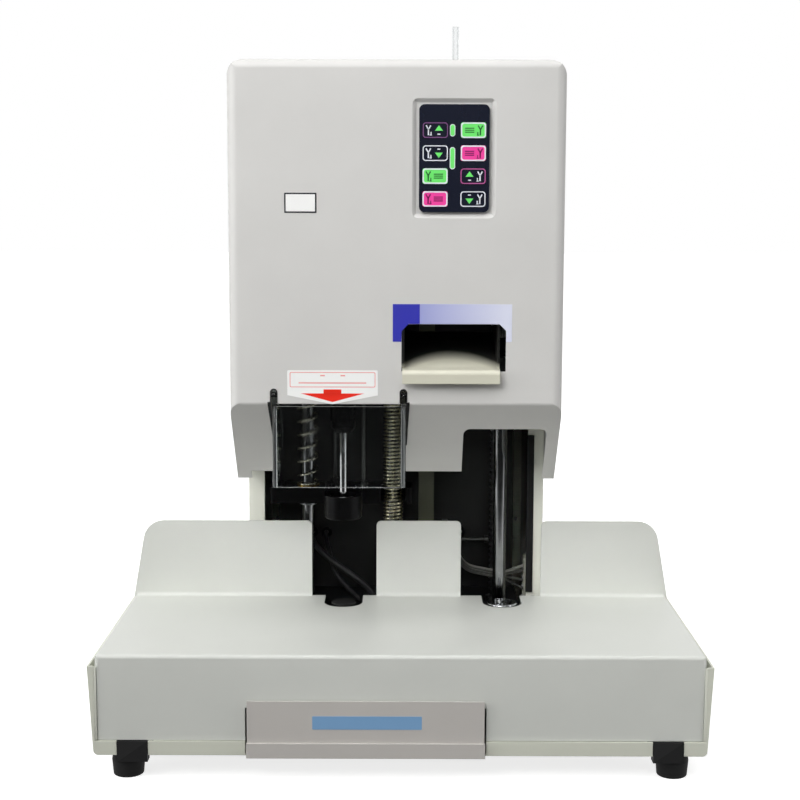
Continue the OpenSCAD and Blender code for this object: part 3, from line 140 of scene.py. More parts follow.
def new_material(name):
    """An empty material, its tree, and the place on the object from which patterns are drawn."""
    material = bpy.data.materials.new(name)
    material.use_nodes = True
    tree = material.node_tree
    tree.nodes.clear()
    return material, tree, add(tree, "TexCoord").outputs["Object"]


# %% Floor and backdrop
floor_paint, tree, spot = new_material("matt_pale_studio_floor")
rays = add(tree, "LightPath").outputs
depth = add(tree, "SeparateXYZ", {0: spot}).outputs["Y"]
near = add(tree, "MapRange", {"Value": depth, "From Min": -0.75, "From Max": -0.35})
mirrored = add(tree, "Math", {0: rays["Is Glossy Ray"], 1: rays["Is Transmission Ray"]}, operation="MAXIMUM")
mirrored_near = add(tree, "Math", {0: mirrored, 1: near}, operation="MULTIPLY")
seen = add(tree, "Math", {0: rays["Is Camera Ray"], 1: mirrored_near}, operation="MAXIMUM")
away = add(tree, "VectorMath", {0: spot}, operation="LENGTH").outputs["Value"]
lift = add(tree, "MapRange", {"Value": away, "From Min": 0.3, "From Max": 0.8, "To Min": 0.78, "To Max": 1.0})
strength = add(tree, "Math", {0: seen, 1: lift}, operation="MULTIPLY")
dim = add(tree, "Mix", {"Factor": near, "A": linear("#303030"), "B": linear("#4a4a49")}, data_type="RGBA")
tone = add(tree, "Mix", {"Factor": rays["Is Camera Ray"], "A": dim, "B": linear("#c4c4c2")}, data_type="RGBA")
cloth = add(tree, "BsdfDiffuse", {"Color": tone})
glow = add(tree, "Emission", {"Color": (1, 1, 1, 1), "Strength": strength})
add(tree, "OutputMaterial", {"Surface": add(tree, "AddShader", {0: cloth, 1: glow})})

floor_mesh = bpy.data.meshes.new("floor")
reach = 12.0
floor_corners = [(-reach, -reach, 0), (reach, -reach, 0), (reach, reach, 0), (-reach, reach, 0)]
floor_mesh.from_pydata(floor_corners, [], [(0, 1, 2, 3)])
floor_mesh.materials.append(floor_paint)
floor = shown("floor", floor_mesh)

# %% [markdown]
# Product light: a wide soft box high overhead for the table and the fronts, one
# in front for the head, a small gridded one for the fence under the head, and
# two low side panels that draw thin bright lines down the ground columns. The
# room adds a weaker light from above, and its white backdrop lights the machine
# from behind and from the sides. In front it is dim, which is what metal mirrors.

# %% World and lamps
world = bpy.data.worlds.new("studio_room")
bpy.context.scene.world = world
world.use_nodes = True
tree = world.node_tree
tree.nodes.clear()
rays = add(tree, "LightPath").outputs
way = add(tree, "SeparateXYZ", {0: add(tree, "TexCoord").outputs["Generated"]}).outputs
ramps = {}
for name, axis, start, end, least, most in (
    ("behind", "Y", -0.1, 0.35, 0.05, 1.0),
    ("above", "Z", 0.0, 0.9, 0.05, 0.36),
    ("around", "Y", -0.3, 0.4, 0.0, 1.0),
    ("low", "Z", 0.1, 0.55, 1.0, 0.1),
):
    span = {"Value": way[axis], "From Min": start, "From Max": end, "To Min": least, "To Max": most}
    ramps[name] = add(tree, "MapRange", span)
backdrop = add(tree, "Math", {0: ramps["around"], 1: ramps["low"]}, operation="MULTIPLY")
room_light = add(tree, "Math", {0: ramps["above"], 1: backdrop}, operation="MAXIMUM")
fill = add(tree, "Background", {"Color": linear("#fdfdff"), "Strength": room_light})
mirror = add(tree, "Background", {"Color": (1, 1, 1, 1), "Strength": ramps["behind"]})
white = add(tree, "Background", {"Color": (1, 1, 1, 1), "Strength": 1.0})
seen = add(tree, "Math", {0: rays["Is Camera Ray"], 1: rays["Is Transmission Ray"]}, operation="MAXIMUM")
mirrored = add(tree, "MixShader", {0: rays["Is Glossy Ray"], 1: fill, 2: mirror})
add(tree, "OutputWorld", {"Surface": add(tree, "MixShader", {0: seen, 1: mirrored, 2: white})})


def soft_box(name, place, target, size, watts, spread=180):
    lamp = bpy.data.lights.new(name, "AREA")
    lamp.shape = "RECTANGLE"
    lamp.size, lamp.size_y = size
    lamp.energy = watts
    lamp.spread = radians(spread)
    aim = (Vector(target) - Vector(place)).to_track_quat("-Z", "Y").to_matrix().to_4x4()
    shown(name, lamp).matrix_world = Matrix.Translation(place) @ aim


soft_box("soft_box_front", (-0.6, -1.15, 1.2), (0, -0.13, 0.5), (1.3, 0.8), 3.0, spread=60)
soft_box("soft_box_top", (0.0, -1.3, 3.8), (0, -0.15, 0), (3.2, 1.8), 53)
soft_box("soft_box_fence", (0.0, -1.2, 0.50), (0, -0.02, 0.135), (0.36, 0.06), 0.0195, spread=13)
soft_box("soft_box_left", (-1.3, -0.6, 0.55), (0, 0, 0.34), (0.4, 1.0), 6.5)
soft_box("soft_box_right", (1.3, -0.6, 0.55), (0, 0, 0.34), (0.4, 1.0), 4.4)

# %% [markdown]
# ## Painted steel
# The covers are sheet steel with a satin powder coat. Powder melts into a skin
# with a faint orange peel, low waves about 1.5 mm apart. Handling leaves the
# gloss uneven over a few centimetres. A bevel in the shader rounds the bends
# and cut edges by half a millimetre.


# %% Powder coat
def surfaced(tree, factor, colour, other, rough, height, strength, distance_mm, edge_mm=0, **inputs):
    """The shader in two tones, with relief from a height and edges rounded by edge_mm."""
    relief = {"Height": height, "Strength": strength, "Distance": distance_mm * MM}
    if edge_mm:
        relief["Normal"] = add(tree, "Bevel", {"Radius": edge_mm * MM}, samples=4)
    tone = add(tree, "Mix", {"Factor": factor, "A": colour, "B": other}, data_type="RGBA")
    inputs = {name.replace("_", " "): value for name, value in inputs.items()}
    inputs.update({"Base Color": tone, "Roughness": rough, "Normal": add(tree, "Bump", relief)})
    add(tree, "OutputMaterial", {"Surface": add(tree, "BsdfPrincipled", inputs)})


def recoloured(material, factor, colour):
    """Blends the colour of a finish into another one by a factor."""
    tree = material.node_tree
    base = tree.nodes["Principled BSDF"].inputs["Base Color"]
    colours = {"Factor": factor, "A": base.links[0].from_socket, "B": linear(colour)}
    tree.links.new(add(tree, "Mix", colours, data_type="RGBA").outputs["Result"], base)


def painted_steel(name, colour, roughness=0.44, peel_mm=1.5):
    material, tree, place = new_material(name)
    peel = add(tree, "TexNoise", {"Vector": place, "Scale": 1 / (peel_mm * MM), "Detail": 2.0})
    cloud = add(tree, "TexNoise", {"Vector": place, "Scale": 1 / (45 * MM), "Detail": 3.0})
    base = linear(colour)
    least, most = roughness - 0.05, roughness + 0.06
    gloss = {"Value": cloud, "From Min": 0.3, "From Max": 0.7, "To Min": least, "To Max": most}
    dark, light, rough = scaled(base, 0.955), scaled(base, 1.05), add(tree, "MapRange", gloss)
    surfaced(tree, cloud, dark, light, rough, peel, 0.06, 0.4, edge_mm=0.5, IOR=1.5)
    return material


warm_grey_coat = painted_steel("powder_coated_steel_warm_grey", "#d6d5d2")
table_coat = painted_steel("powder_coated_steel_pale_grey", "#d5d7d1")
cream_coat = painted_steel("powder_coated_steel_cream", "#d9dbcd")
# The column shell has the pan's cream made lighter: painted light for its flanges, which stand in the head's
# shade.
shell_coat_painted_light = painted_steel("cream_coated_steel_painted_light", "#ecede1")
drawer_coat = painted_steel("powder_coated_steel_drawer_grey", "#c6c2bd")
# The strut's dark olive is painted shade, for the deep shade behind the stations where it stands.
strut_coat_painted_shade = painted_steel("strut_steel_painted_shade", "#4c4e3e", roughness=0.4)
black_coat = painted_steel("black_enamelled_steel", "#141413", roughness=0.45, peel_mm=2.0)
motor_coat = painted_steel("black_stoved_enamel", "#242528", roughness=0.36, peel_mm=1.2)
blue_coat = painted_steel("blue_stoved_enamel", "#2f3568", roughness=0.34)
chute_coat = painted_steel("stoved_ivory_enamel_painted_shadow", "#d5d3c1", roughness=0.32)

# %% [markdown]
# The chute is ivory enamel, painted dark behind its lip along an arc: painted
# shadow for the part of it that the top of the outlet shades.

# %% Painted shadow behind the lip's arc
tree = chute_coat.node_tree
place = add(tree, "SeparateXYZ", {0: add(tree, "TexCoord").outputs["Object"]}).outputs
left, right, arc_drop, lit_below, shadow_above = 4 * MM, 70 * MM, 6.5 * MM, 298.5 * MM, 304.5 * MM
width = {"Value": place["X"], "From Min": left, "From Max": right, "To Min": -1.0, "To Max": 1.0}
off_middle = add(tree, "Math", {0: add(tree, "MapRange", width), 1: 2.0}, operation="POWER")
arc_height = add(tree, "Math", {0: off_middle, 1: arc_drop, 2: place["Z"]}, operation="MULTIPLY_ADD")
painted_shadow_fade = add(tree, "MapRange", {"Value": arc_height, "From Min": lit_below, "From Max": shadow_above})
# Painted shadow: the dark colour blends in over the chute behind the arc.
recoloured(chute_coat, painted_shadow_fade.outputs[0], "#1d1d1b")

# %% [markdown]
# ## Castings and bare metals
# The carriage and the plates are iron castings under black enamel, with the
# pebbled skin of the sand, about 2.5 mm from lump to lump. Ground, turned and
# drawn steels differ in how fine their lines are and which way these run: a
# turned column's lie round it, so they are thin along Z. Ground lines are
# 0.05 mm apart, too fine to show, and are drawn 0.6 mm apart.


# %% Metals
def bare_metal(name, colour, roughness, line_mm, uneven=0.08, scratch=0.04, stain=0.25):
    material, tree, place = new_material(name)
    stretched = add(tree, "Mapping", {"Vector": place, "Scale": tuple(1 / (mm * MM) for mm in line_mm)})
    lines = add(tree, "TexNoise", {"Vector": stretched, "Scale": 1.0, "Detail": 3.0, "Roughness": 0.6})
    oil = add(tree, "TexNoise", {"Vector": place, "Scale": 1 / (14 * MM), "Detail": 4.0})
    base = linear(colour)
    least, most = max(roughness - uneven, 0.03), roughness + uneven
    gloss = {"Value": lines, "From Min": 0.25, "From Max": 0.75, "To Min": least, "To Max": most}
    rough = add(tree, "MapRange", gloss)
    surfaced(tree, oil, base, scaled(base, 1 - stain), rough, lines, scratch, 0.2, edge_mm=0.3, Metallic=1.0)
    return material


def cast_iron(name, colour, lump_mm=2.5, roughness=0.55):
    material, tree, place = new_material(name)
    sand = add(tree, "TexVoronoi", {"Vector": place, "Scale": 1 / (lump_mm * MM)}, feature="SMOOTH_F1")
    fine = add(tree, "TexNoise", {"Vector": place, "Scale": 1 / (0.8 * MM), "Detail": 4.0})
    height = add(tree, "Math", {0: sand, 1: fine}, operation="ADD")
    base = linear(colour)
    surfaced(tree, fine, base, scaled(base, 1.5, 0.004), roughness, height, 0.25, 0.5, edge_mm=0.8)
    return material


turned, drawn, wound = (8, 8, 0.6), (0.8, 0.8, 12), (1, 1, 1)
hard_chrome = bare_metal("ground_hard_chrome", "#a6a8aa", 0.13, turned, uneven=0.05, scratch=0.02, stain=0.45)
die_chrome = bare_metal("polished_chromed_die_steel", "#dcdee0", 0.12, turned, uneven=0.04, stain=0.1)
machined_steel = bare_metal("machined_steel", "#a9acaf", 0.30, turned)
drill_steel = bare_metal("ground_tool_steel", "#e6e7e8", 0.1, drawn, uneven=0.04, stain=0.1)
spring_wire = bare_metal("oiled_spring_wire", "#ebe5c8", 0.28, wound, stain=0.35)
bright_wire = bare_metal("zinc_plated_spring_wire", "#dedbc9", 0.25, wound, stain=0.3)
aluminium = bare_metal("turned_aluminium", "#c6c8ca", 0.28, turned)
brass = bare_metal("turned_brass", "#d9b45a", 0.22, turned, uneven=0.06, stain=0.2)
copper_wire = bare_metal("enamelled_copper_wire", "#c4672f", 0.3, (30, 30, 0.7), 0.1, scratch=0.3, stain=0.3)
black_oxide = bare_metal("black_oxide_steel", "#1e1e1f", 0.36, turned, stain=0.3)
phosphated_steel = bare_metal("phosphated_steel", "#5e605e", 0.34, turned, stain=0.4)
screw_zinc = bare_metal("zinc_plated_screw_steel", "#c4c6c8", 0.26, wound, stain=0.15)
black_casting = cast_iron("black_enamelled_cast_iron", "#151617")

# %% [markdown]
# ## Plastics and rubber
# Moulded plastics keep the spark-erosion grain of their tool, about 0.7 mm.
# Rubber is duller and darker, and dust greys it. The keypad is a polyester film
# printed from behind, so it is glossy in front. Vinyl labels have a softer sheen.


# %% Plastics, rubber, film
def moulded(name, colour, roughness, grain_mm, grain, coat=0.0, dust=0.06, ior=1.46):
    material, tree, place = new_material(name)
    spark = add(tree, "TexNoise", {"Vector": place, "Scale": 1 / (grain_mm * MM), "Detail": 3.0})
    cloud = add(tree, "TexNoise", {"Vector": place, "Scale": 1 / (20 * MM), "Detail": 3.0})
    base = linear(colour)
    gloss = {"Value": spark, "To Min": max(roughness - 0.05, 0.03), "To Max": roughness + 0.05}
    dusty, rough = scaled(base, 1 - dust, 0.4 * dust), add(tree, "MapRange", gloss)
    surfaced(tree, cloud, base, dusty, rough, spark, grain, 0.2, Coat_Weight=coat, Coat_Roughness=0.08, IOR=ior)
    return material


def ink(name, colour, roughness=0.36, coat=0.0):
    return moulded(name, colour, roughness, 1.0, 0.02, coat=coat, dust=0.0)


def vinyl(name, colour):
    return moulded(name, colour, 0.34, 1.0, 0.03, dust=0.01)


foot_rubber = moulded("moulded_black_rubber", "#0b0b0c", 0.7, 0.9, 0.2, dust=0.005, ior=1.35)
seal_rubber = moulded("cream_sealing_rubber", "#e6e8dc", 0.5, 0.9, 0.1, dust=0.02)
belt_rubber = moulded("polyurethane_belt", "#17181a", 0.5, 0.8, 0.15)
clamp_plastic = moulded("black_polyamide", "#0b0b0c", 0.5, 0.8, 0.12, dust=0.005, ior=1.36)
inlet_plastic = moulded("black_polycarbonate", "#161617", 0.38, 0.7, 0.1)
pad_nylon = moulded("black_cast_nylon", "#161617", 0.4, 0.9, 0.12)
cable_black = moulded("black_pvc_sheath", "#19191b", 0.38, 1.2, 0.1)
cable_white = moulded("pale_grey_pvc_sheath", "#9a9a93", 0.42, 1.2, 0.1)
cable_grey = moulded("grey_pvc_sheath", "#5b5b57", 0.42, 1.2, 0.1)
solder_mask = moulded("green_solder_mask", "#1d6a3c", 0.3, 0.8, 0.05, coat=0.3)
terminal_plastic = moulded("natural_polyamide_terminal", "#a9aa9c", 0.42, 0.8, 0.1)
chip_epoxy = moulded("black_moulding_compound", "#1f2022", 0.5, 0.5, 0.1)
film_navy = moulded("printed_polyester_film_navy", "#171b2b", 0.22, 1.0, 0.02, coat=0.35, dust=0.01)
ink_green = ink("printed_ink_green", "#76f276", 0.34, coat=0.2)
ink_pink = ink("printed_ink_pink", "#fb4aa8", 0.34, coat=0.2)
ink_white = ink("printed_ink_white", "#eef0f6")
ink_mauve = ink("printed_ink_mauve", "#7d4f80")
ink_rose = ink("printed_ink_rose", "#c25f9d")
ink_moss = ink("printed_ink_dark_green", "#1f6a2c")
ink_plum = ink("printed_ink_plum", "#7c1250")
label_white = vinyl("white_vinyl_label", "#fdfdfb")
label_blue = vinyl("blue_vinyl_label", "#7ea9d2")
label_lavender = vinyl("lavender_vinyl_label", "#a6abde")
label_indigo = ink("indigo_printed_vinyl", "#3b3cb4", 0.34)
label_red = ink("red_printed_vinyl", "#f5301f", 0.34)
label_rose = ink("rose_printed_vinyl", "#f2a9a4", 0.34)
label_black = ink("black_printed_vinyl", "#26272c", 0.34)

# %% [markdown]
# The label at the outlet is printed as a blend: lavender beside its indigo end,
# nearly white at the other end.

# %% Blend on the outlet label
tree = label_lavender.node_tree
place = add(tree, "SeparateXYZ", {0: add(tree, "TexCoord").outputs["Object"]}).outputs
fade = add(tree, "MapRange", {"Value": place["X"], "From Min": 14 * MM, "From Max": 76 * MM})
recoloured(label_lavender, fade.outputs[0], "#e3e6f8")

# %% [markdown]
# The shield is clear cast acrylic and the rivet stock is natural nylon tube.
# Both darken where they are seen at a slant. Light for the parts behind goes
# straight through, a little dimmed, as through a thin window.


# %% Clear acrylic and nylon
def clear_plastic(name, colour, rim_colour, roughness, ior, passes):
    material, tree, place = new_material(name)
    smear = add(tree, "TexNoise", {"Vector": place, "Scale": 1 / (18 * MM), "Detail": 5.0})
    gloss = {"Value": smear, "From Min": 0.45, "From Max": 0.8, "To Min": roughness, "To Max": roughness + 0.12}
    slant = add(tree, "LayerWeight", {"Blend": 0.35}).outputs["Facing"]
    tint = add(tree, "Mix", {"Factor": slant, "A": linear(colour), "B": linear(rim_colour)}, data_type="RGBA")
    rough = add(tree, "MapRange", gloss)
    body = {"Base Color": tint, "Roughness": rough, "Transmission Weight": 1.0, "IOR": ior}
    window = add(tree, "BsdfTransparent", {"Color": (passes, passes, passes, 1)})
    rays = add(tree, "LightPath").outputs
    light = add(tree, "Math", {0: rays["Is Shadow Ray"], 1: rays["Is Diffuse Ray"]}, operation="MAXIMUM")
    mixed = add(tree, "MixShader", {0: light, 1: add(tree, "BsdfPrincipled", body), 2: window})
    add(tree, "OutputMaterial", {"Surface": mixed})
    return material


clear_acrylic = clear_plastic("cast_acrylic_clear", "#f2f6f6", "#e2e8e8", 0.02, 1.49, 0.95)
acrylic_edge = clear_plastic("cast_acrylic_flamed_edge", "#ffffff", "#ffffff", 0.45, 1.49, 0.7)
wing_edge = clear_plastic("cast_acrylic_sawn_edge", "#9aa09f", "#8a908f", 0.4, 1.49, 0.6)
nylon_tube = clear_plastic("extruded_nylon_natural", "#fafbfb", "#8f9698", 0.04, 1.2, 0.8)

# %% [markdown]
# ## Finishes on the imported solids
# Each solid gets the finish of the real piece, but the column shell's coat holds
# painted light and the strut's and the chute's hold painted shade. Where one node
# holds two, such as the brass pins in the inlet, its faces are told apart by where they lie.
# The bends of the sheets are short flat strips. Corner normals are blended over
# edges flatter than 32 degrees, weighted by area, so the strips read as one bend.

# %% Finishes per node
finishes = (
    (warm_grey_coat, "head_cover rear_cover"), (table_coat, "table_cover"), (cream_coat, "base_pan"),
    (shell_coat_painted_light, "column_shell"), (chute_coat, "tube_chute"), (drawer_coat, "scrap_drawer"),
    (strut_coat_painted_shade, "centre_strut"), (black_coat, "back_plate"),
    (black_casting, "lower_frame upper_plate drill_carriage rivet_arm"),
    (black_oxide, "press_bar press_foot drill_chuck lower_heater drill_anvil shield_pins"),
    (hard_chrome, "guide_column_left guide_column_right rivet_column spindle_bearings"),
    (die_chrome, "lower_die upper_die"), (machined_steel, "drill_screw rivet_screw cutter_block"),
    (drill_steel, "cutter_blade drill_bit drill_spindle"), (phosphated_steel, "tie_rods"),
    (brass, "tube_guide"), (screw_zinc, "cover_screws"), (aluminium, "motor_pulley"),
    (motor_coat, "drill_motor drill_feed_motor rivet_feed_motor transformer"),
    (pad_nylon, "drill_pad"), (nylon_tube, "nylon_tube"), (clear_acrylic, "safety_shield"),
    (bright_wire, "press_spring"), (spring_wire, "return_spring"), (belt_rubber, "drill_belt"),
    (blue_coat, "cutter_solenoid"),
    (foot_rubber, "rubber_feet"), (inlet_plastic, "power_inlet rocker_switch"),
    (film_navy, "keypad_panel key_left_1 key_left_2 key_right_3 key_right_4"),
    (ink_green, "key_left_3 key_right_1"), (ink_pink, "key_left_4 key_right_2"),
    (solder_mask, "control_board"), (cable_black, "wire_harness"),
)
for material, names in finishes:
    for name in names.split():
        nodes[name].data.materials.clear()
        nodes[name].data.materials.append(material)


def face_finish(name, material, where):
    """Gives the faces of a node whose middle passes the test, in mm, another finish."""
    mesh = nodes[name].data
    mesh.materials.append(material)
    for face in mesh.polygons:
        if where(*(face.center / MM)):
            face.material_index = len(mesh.materials) - 1


face_finish("power_inlet", brass, lambda x, y, z: 172 < y < 185.6 and 44.9 < x < 61.1 and 163 < z < 174)
face_finish("control_board", chip_epoxy, lambda x, y, z: y > 100.7 and z < 241)
face_finish("control_board", aluminium, lambda x, y, z: y > 100.7 and z > 241)
face_finish("transformer", copper_wire, lambda x, y, z: 29.3 < z < 59.7 and not 122.9 <= y <= 143.1)
face_finish("rubber_feet", clamp_plastic, lambda x, y, z: z > 20.4 or y < -203)


# %% Blend the strips of each bend
def blend_normals(mesh, flattest=32):
    """Blends the normals at each point of a mesh of triangles, so corner number // 3 is its face."""
    corners = np.zeros(len(mesh.loops), np.int64)
    mesh.loops.foreach_get("vertex_index", corners)
    points = np.zeros(len(mesh.vertices) * 3)
    mesh.vertices.foreach_get("co", points)
    _, welded = np.unique(points.reshape(-1, 3).round(6), axis=0, return_inverse=True)
    at = welded.reshape(-1)[corners]
    normal = np.zeros(len(mesh.polygons) * 3)
    mesh.polygons.foreach_get("normal", normal)
    normal = normal.reshape(-1, 3)
    area = np.zeros(len(mesh.polygons))
    mesh.polygons.foreach_get("area", area)
    order = np.argsort(at, kind="stable")
    ends = np.flatnonzero(np.diff(np.append(at[order], -1))) + 1
    smooth = np.zeros((len(corners), 3))
    least = cos(radians(flattest))
    start = 0
    for end in ends:
        group = order[start:end]
        start = end
        around = normal[group // 3]
        smooth[group] = (around @ around.T > least) * area[group // 3] @ around
    smooth /= np.linalg.norm(smooth, axis=1, keepdims=True) + 1e-12
    mesh.shade_smooth()
    mesh.normals_split_custom_set(smooth.tolist())


faceted = """head_cover rear_cover table_cover base_pan column_shell tube_chute scrap_drawer keypad_panel
    upper_plate lower_frame back_plate drill_carriage rivet_arm power_inlet""".split()
for name in faceted + [n for n in nodes if n.startswith("key_")]:
    blend_normals(nodes[name].data)

# %% [markdown]
# ## Building pieces
# Most added pieces are a wire swept along a path, a profile turned about an
# axis, or a film cut to an outline. Each is plain vertices and faces, placed in
# the frame of the machine in millimetres, and rides on the body that carries it.


# %% Helpers for pieces
def piece(name, points, faces, material, slot, body="root", sharp=40):
    mesh = bpy.data.meshes.new(name)
    mesh.from_pydata([tuple(c * MM for c in p) for p in points], [], faces)
    mesh.materials.append(material)
    mesh.validate()
    mesh.shade_smooth()
    mesh.set_sharp_from_angle(angle=radians(sharp))
    made = shown(name, mesh)
    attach(made, body)
    return made


def joined(*parts):
    """Puts several (points, faces) together."""
    points, faces = [], []
    for some_points, some_faces in parts:
        faces += [tuple(i + len(points) for i in f) for f in some_faces]
        points += list(some_points)
    return points, faces


def arc(x, z, wide, tall, start, sweep, steps):
    """Points along part of an ellipse, as (x, z), from one angle in degrees through a sweep."""
    turns = [radians(start + sweep * k / steps) for k in range(steps + 1)]
    return [(x + wide * cos(turn), z + tall * sin(turn)) for turn in turns]


def circle(radius, sides):
    return [(radius * cos(2 * pi * k / sides), radius * sin(2 * pi * k / sides)) for k in range(sides)]


def bands(rows, sides, capped=True):
    """Faces between rows of points, each row a closed ring, and a cap on both ends."""
    faces = []
    for i in range(rows - 1):
        for k in range(sides):
            a, b = i * sides + k, i * sides + (k + 1) % sides
            faces.append((a, b, b + sides, a + sides))
    if capped:
        faces += [tuple(reversed(range(sides))), tuple(range((rows - 1) * sides, rows * sides))]
    return faces


def swept(path, radius, sides=12):
    """Points and faces of a round wire along a path."""
    path = [Vector(p) for p in path]
    last = len(path) - 1
    tangents = [(path[min(i + 1, last)] - path[max(i - 1, 0)]).normalized() for i in range(last + 1)]
    side = tangents[0].orthogonal().normalized()
    points = []
    for here, along in zip(path, tangents):
        side = (side - along * side.dot(along)).normalized()
        other = along.cross(side)
        points += [here + u * side + v * other for u, v in circle(radius, sides)]
    return points, bands(len(path), sides)


def turned_part(profile, centre, axis="Z", sides=48):
    """Turns a profile of (radius, height) about an axis. A closed one makes a ring, an open one is capped."""
    points = []
    for radius, height in profile:
        for across, up in circle(radius, sides):
            spot = {"Z": (across, up, height), "Y": (up, height, across), "X": (height, across, up)}[axis]
            points.append(Vector(centre) + Vector(spot))
    return points, bands(len(profile), sides, capped=profile[0] != profile[-1])


def round_rect(x, z, width, height, radius):
    """Outline of a rounded rectangle in the XZ plane, as (x, z)."""
    outline = []
    for right, up, start in ((1, 1, 0), (-1, 1, 90), (-1, -1, 180), (1, -1, 270)):
        middle = x + right * (width / 2 - radius), z + up * (height / 2 - radius)
        outline += arc(*middle, radius, radius, start, 90, 6)
    return outline


def film(outline, y, thickness, rim=0.06):
    """A thin film facing -Y with a softened rim, cut to a convex or star-shaped outline."""
    n = len(outline)
    rim = min(rim, 0.8 * thickness)
    cx, cz = (sum(p[i] for p in outline) / n for i in (0, 1))
    inner = []
    for px, pz in outline:
        pull = rim / max(abs(cx - px) + abs(cz - pz), 0.01)
        inner.append((px + (cx - px) * pull, pz + (cz - pz) * pull))
    rings = (outline, y), (outline, y - thickness + rim), (inner, y - thickness)
    points = [(px, depth, pz) for ring, depth in rings for px, pz in ring]
    faces = [tuple(range(n))] + [(a, d, c, b) for a, b, c, d in bands(3, n, capped=False)]
    return points, faces + [tuple(reversed(range(2 * n, 3 * n)))]


def rim_film(outer, inner, y, thickness, closed=True):
    """A flat band between two outlines with the same number of points, closed or with two ends."""
    n = len(outer)
    rings = (outer, y), (outer, y - thickness), (inner, y - thickness), (inner, y)
    points = [(px, depth, pz) for ring, depth in rings for px, pz in ring]
    faces = []
    for ring in range(4):
        for k in range(n if closed else n - 1):
            a, b = ring * n + k, ring * n + (k + 1) % n
            c = (ring + 1) % 4 * n
            faces.append((a, c + k, c + (k + 1) % n, b))
    if not closed:
        faces += [(3 * n, 2 * n, n, 0), (n - 1, 2 * n - 1, 3 * n - 1, 4 * n - 1)]
    return points, faces


def chamfered_box(low, high, chamfer):
    """A block whose twelve edges are rounded off."""
    shape = bmesh.new()
    bmesh.ops.create_cube(shape, size=1.0)
    for v in shape.verts:
        v.co = Vector([low[i] + (high[i] - low[i]) * (v.co[i] + 0.5) for i in range(3)])
    bmesh.ops.bevel(shape, geom=shape.edges[:], offset=chamfer, segments=2, profile=0.6, affect="EDGES")
    shape.verts.index_update()
    made = [v.co.copy() for v in shape.verts], [tuple(v.index for v in f.verts) for f in shape.faces]
    shape.free()
    return made


def smooth_path(knots, steps=8):
    """Points of a smooth curve through the knots."""
    knots = [Vector(k) for k in knots]
    path = []
    for i in range(len(knots) - 1):
        a, b = knots[max(i - 1, 0)], knots[i]
        c, d = knots[i + 1], knots[min(i + 2, len(knots) - 1)]
        slope, bend, twist = c - a, 2 * a - 5 * b + 4 * c - d, 3 * b - a - 3 * c + d
        for t in [j / steps for j in range(steps)]:
            path.append(0.5 * (2 * b + slope * t + bend * t**2 + twist * t**3))
    return path + [knots[-1]]


# %% [markdown]
# ## The two springs
# The wide zinc-plated spring on the left column presses the foot on the paper.
# The fine oiled one on the right column lifts the carriage. Both are cold-wound
# round wire, swept along a helix whose first and last turns close up.

# %% Springs
drill_x, rivet_x, station_y, guide_y = -46.5, 82.5, -48.0, -8.0
left_x, right_x, screw_y = -77.0, -6.5, 36.0
carriage_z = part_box("drill_carriage")[0].z / MM
bar_z, bar_top = (c.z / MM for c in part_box("press_bar"))
frame_top = 72.0


def helix(x, mean_d, wire, low, high, turns, per_turn):
    path = []
    for i in range(turns * per_turn + 1):
        t = i / per_turn
        rise = wire * min(t, 1) + wire * max(0, t - (turns - 1))
        free = (high - low - 3 * wire) * min(max((t - 1) / (turns - 2), 0), 1)
        across, along = mean_d / 2 * cos(2 * pi * t), mean_d / 2 * sin(2 * pi * t)
        path.append((x + across, guide_y + along, low + wire / 2 + rise + free))
    return path


press_wire, return_wire = 1.8, 1.5
press_coil = swept(helix(left_x, 16.2, press_wire, bar_top, carriage_z, 10, 28), press_wire / 2, 10)
press_spring = piece("press_spring_wire", *press_coil, bright_wire, "spring_steel", "carriage")
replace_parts(press_spring, "press_spring")
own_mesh(press_spring)
return_coil = swept(helix(right_x, 15.1, return_wire, frame_top, carriage_z, 68, 20), return_wire / 2, 8)
return_spring = piece("return_spring_wire", *return_coil, spring_wire, "spring_steel")
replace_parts(return_spring, "return_spring")
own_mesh(return_spring)

# %% [markdown]
# The wide spring sits on a turned brass washer. Its column carries a snap ring,
# and the column's socket in the frame has a raised ring.


# %% Washers and rings
def ring_profile(inside, outside, low, high, chamfer=0.3):
    return [(inside, low), (outside - chamfer, low), (outside, low + chamfer), (outside, high - chamfer),
            (outside - chamfer, high), (inside + chamfer, high), (inside, high - chamfer), (inside, low)]


for name, low, high, inside, outside, material, body in (
    ("press_spring_washer", bar_top + 0.02, bar_top + 1.4, 5.3, 9.6, brass, "press"),
    ("snap_ring_left", bar_z - 2.2, bar_z - 0.8, 5.1, 7.4, machined_steel, "press"),
    ("socket_ring_left", frame_top + 3.02, frame_top + 4.4, 5.05, 8.6, machined_steel, "root"),
):
    ring = turned_part(ring_profile(inside, outside, low, high), (left_x, guide_y, 0))
    piece(name, *ring, material, "machined_steel", body)

# %% [markdown]
# ## Feed screws
# Two trapezoidal screws with a 5 mm lead drive the carriage and the rivet arm.
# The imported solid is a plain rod, so the thread is built here: one ridge that
# climbs 5 mm in each turn, round a core that ends in the screw's plain collars.


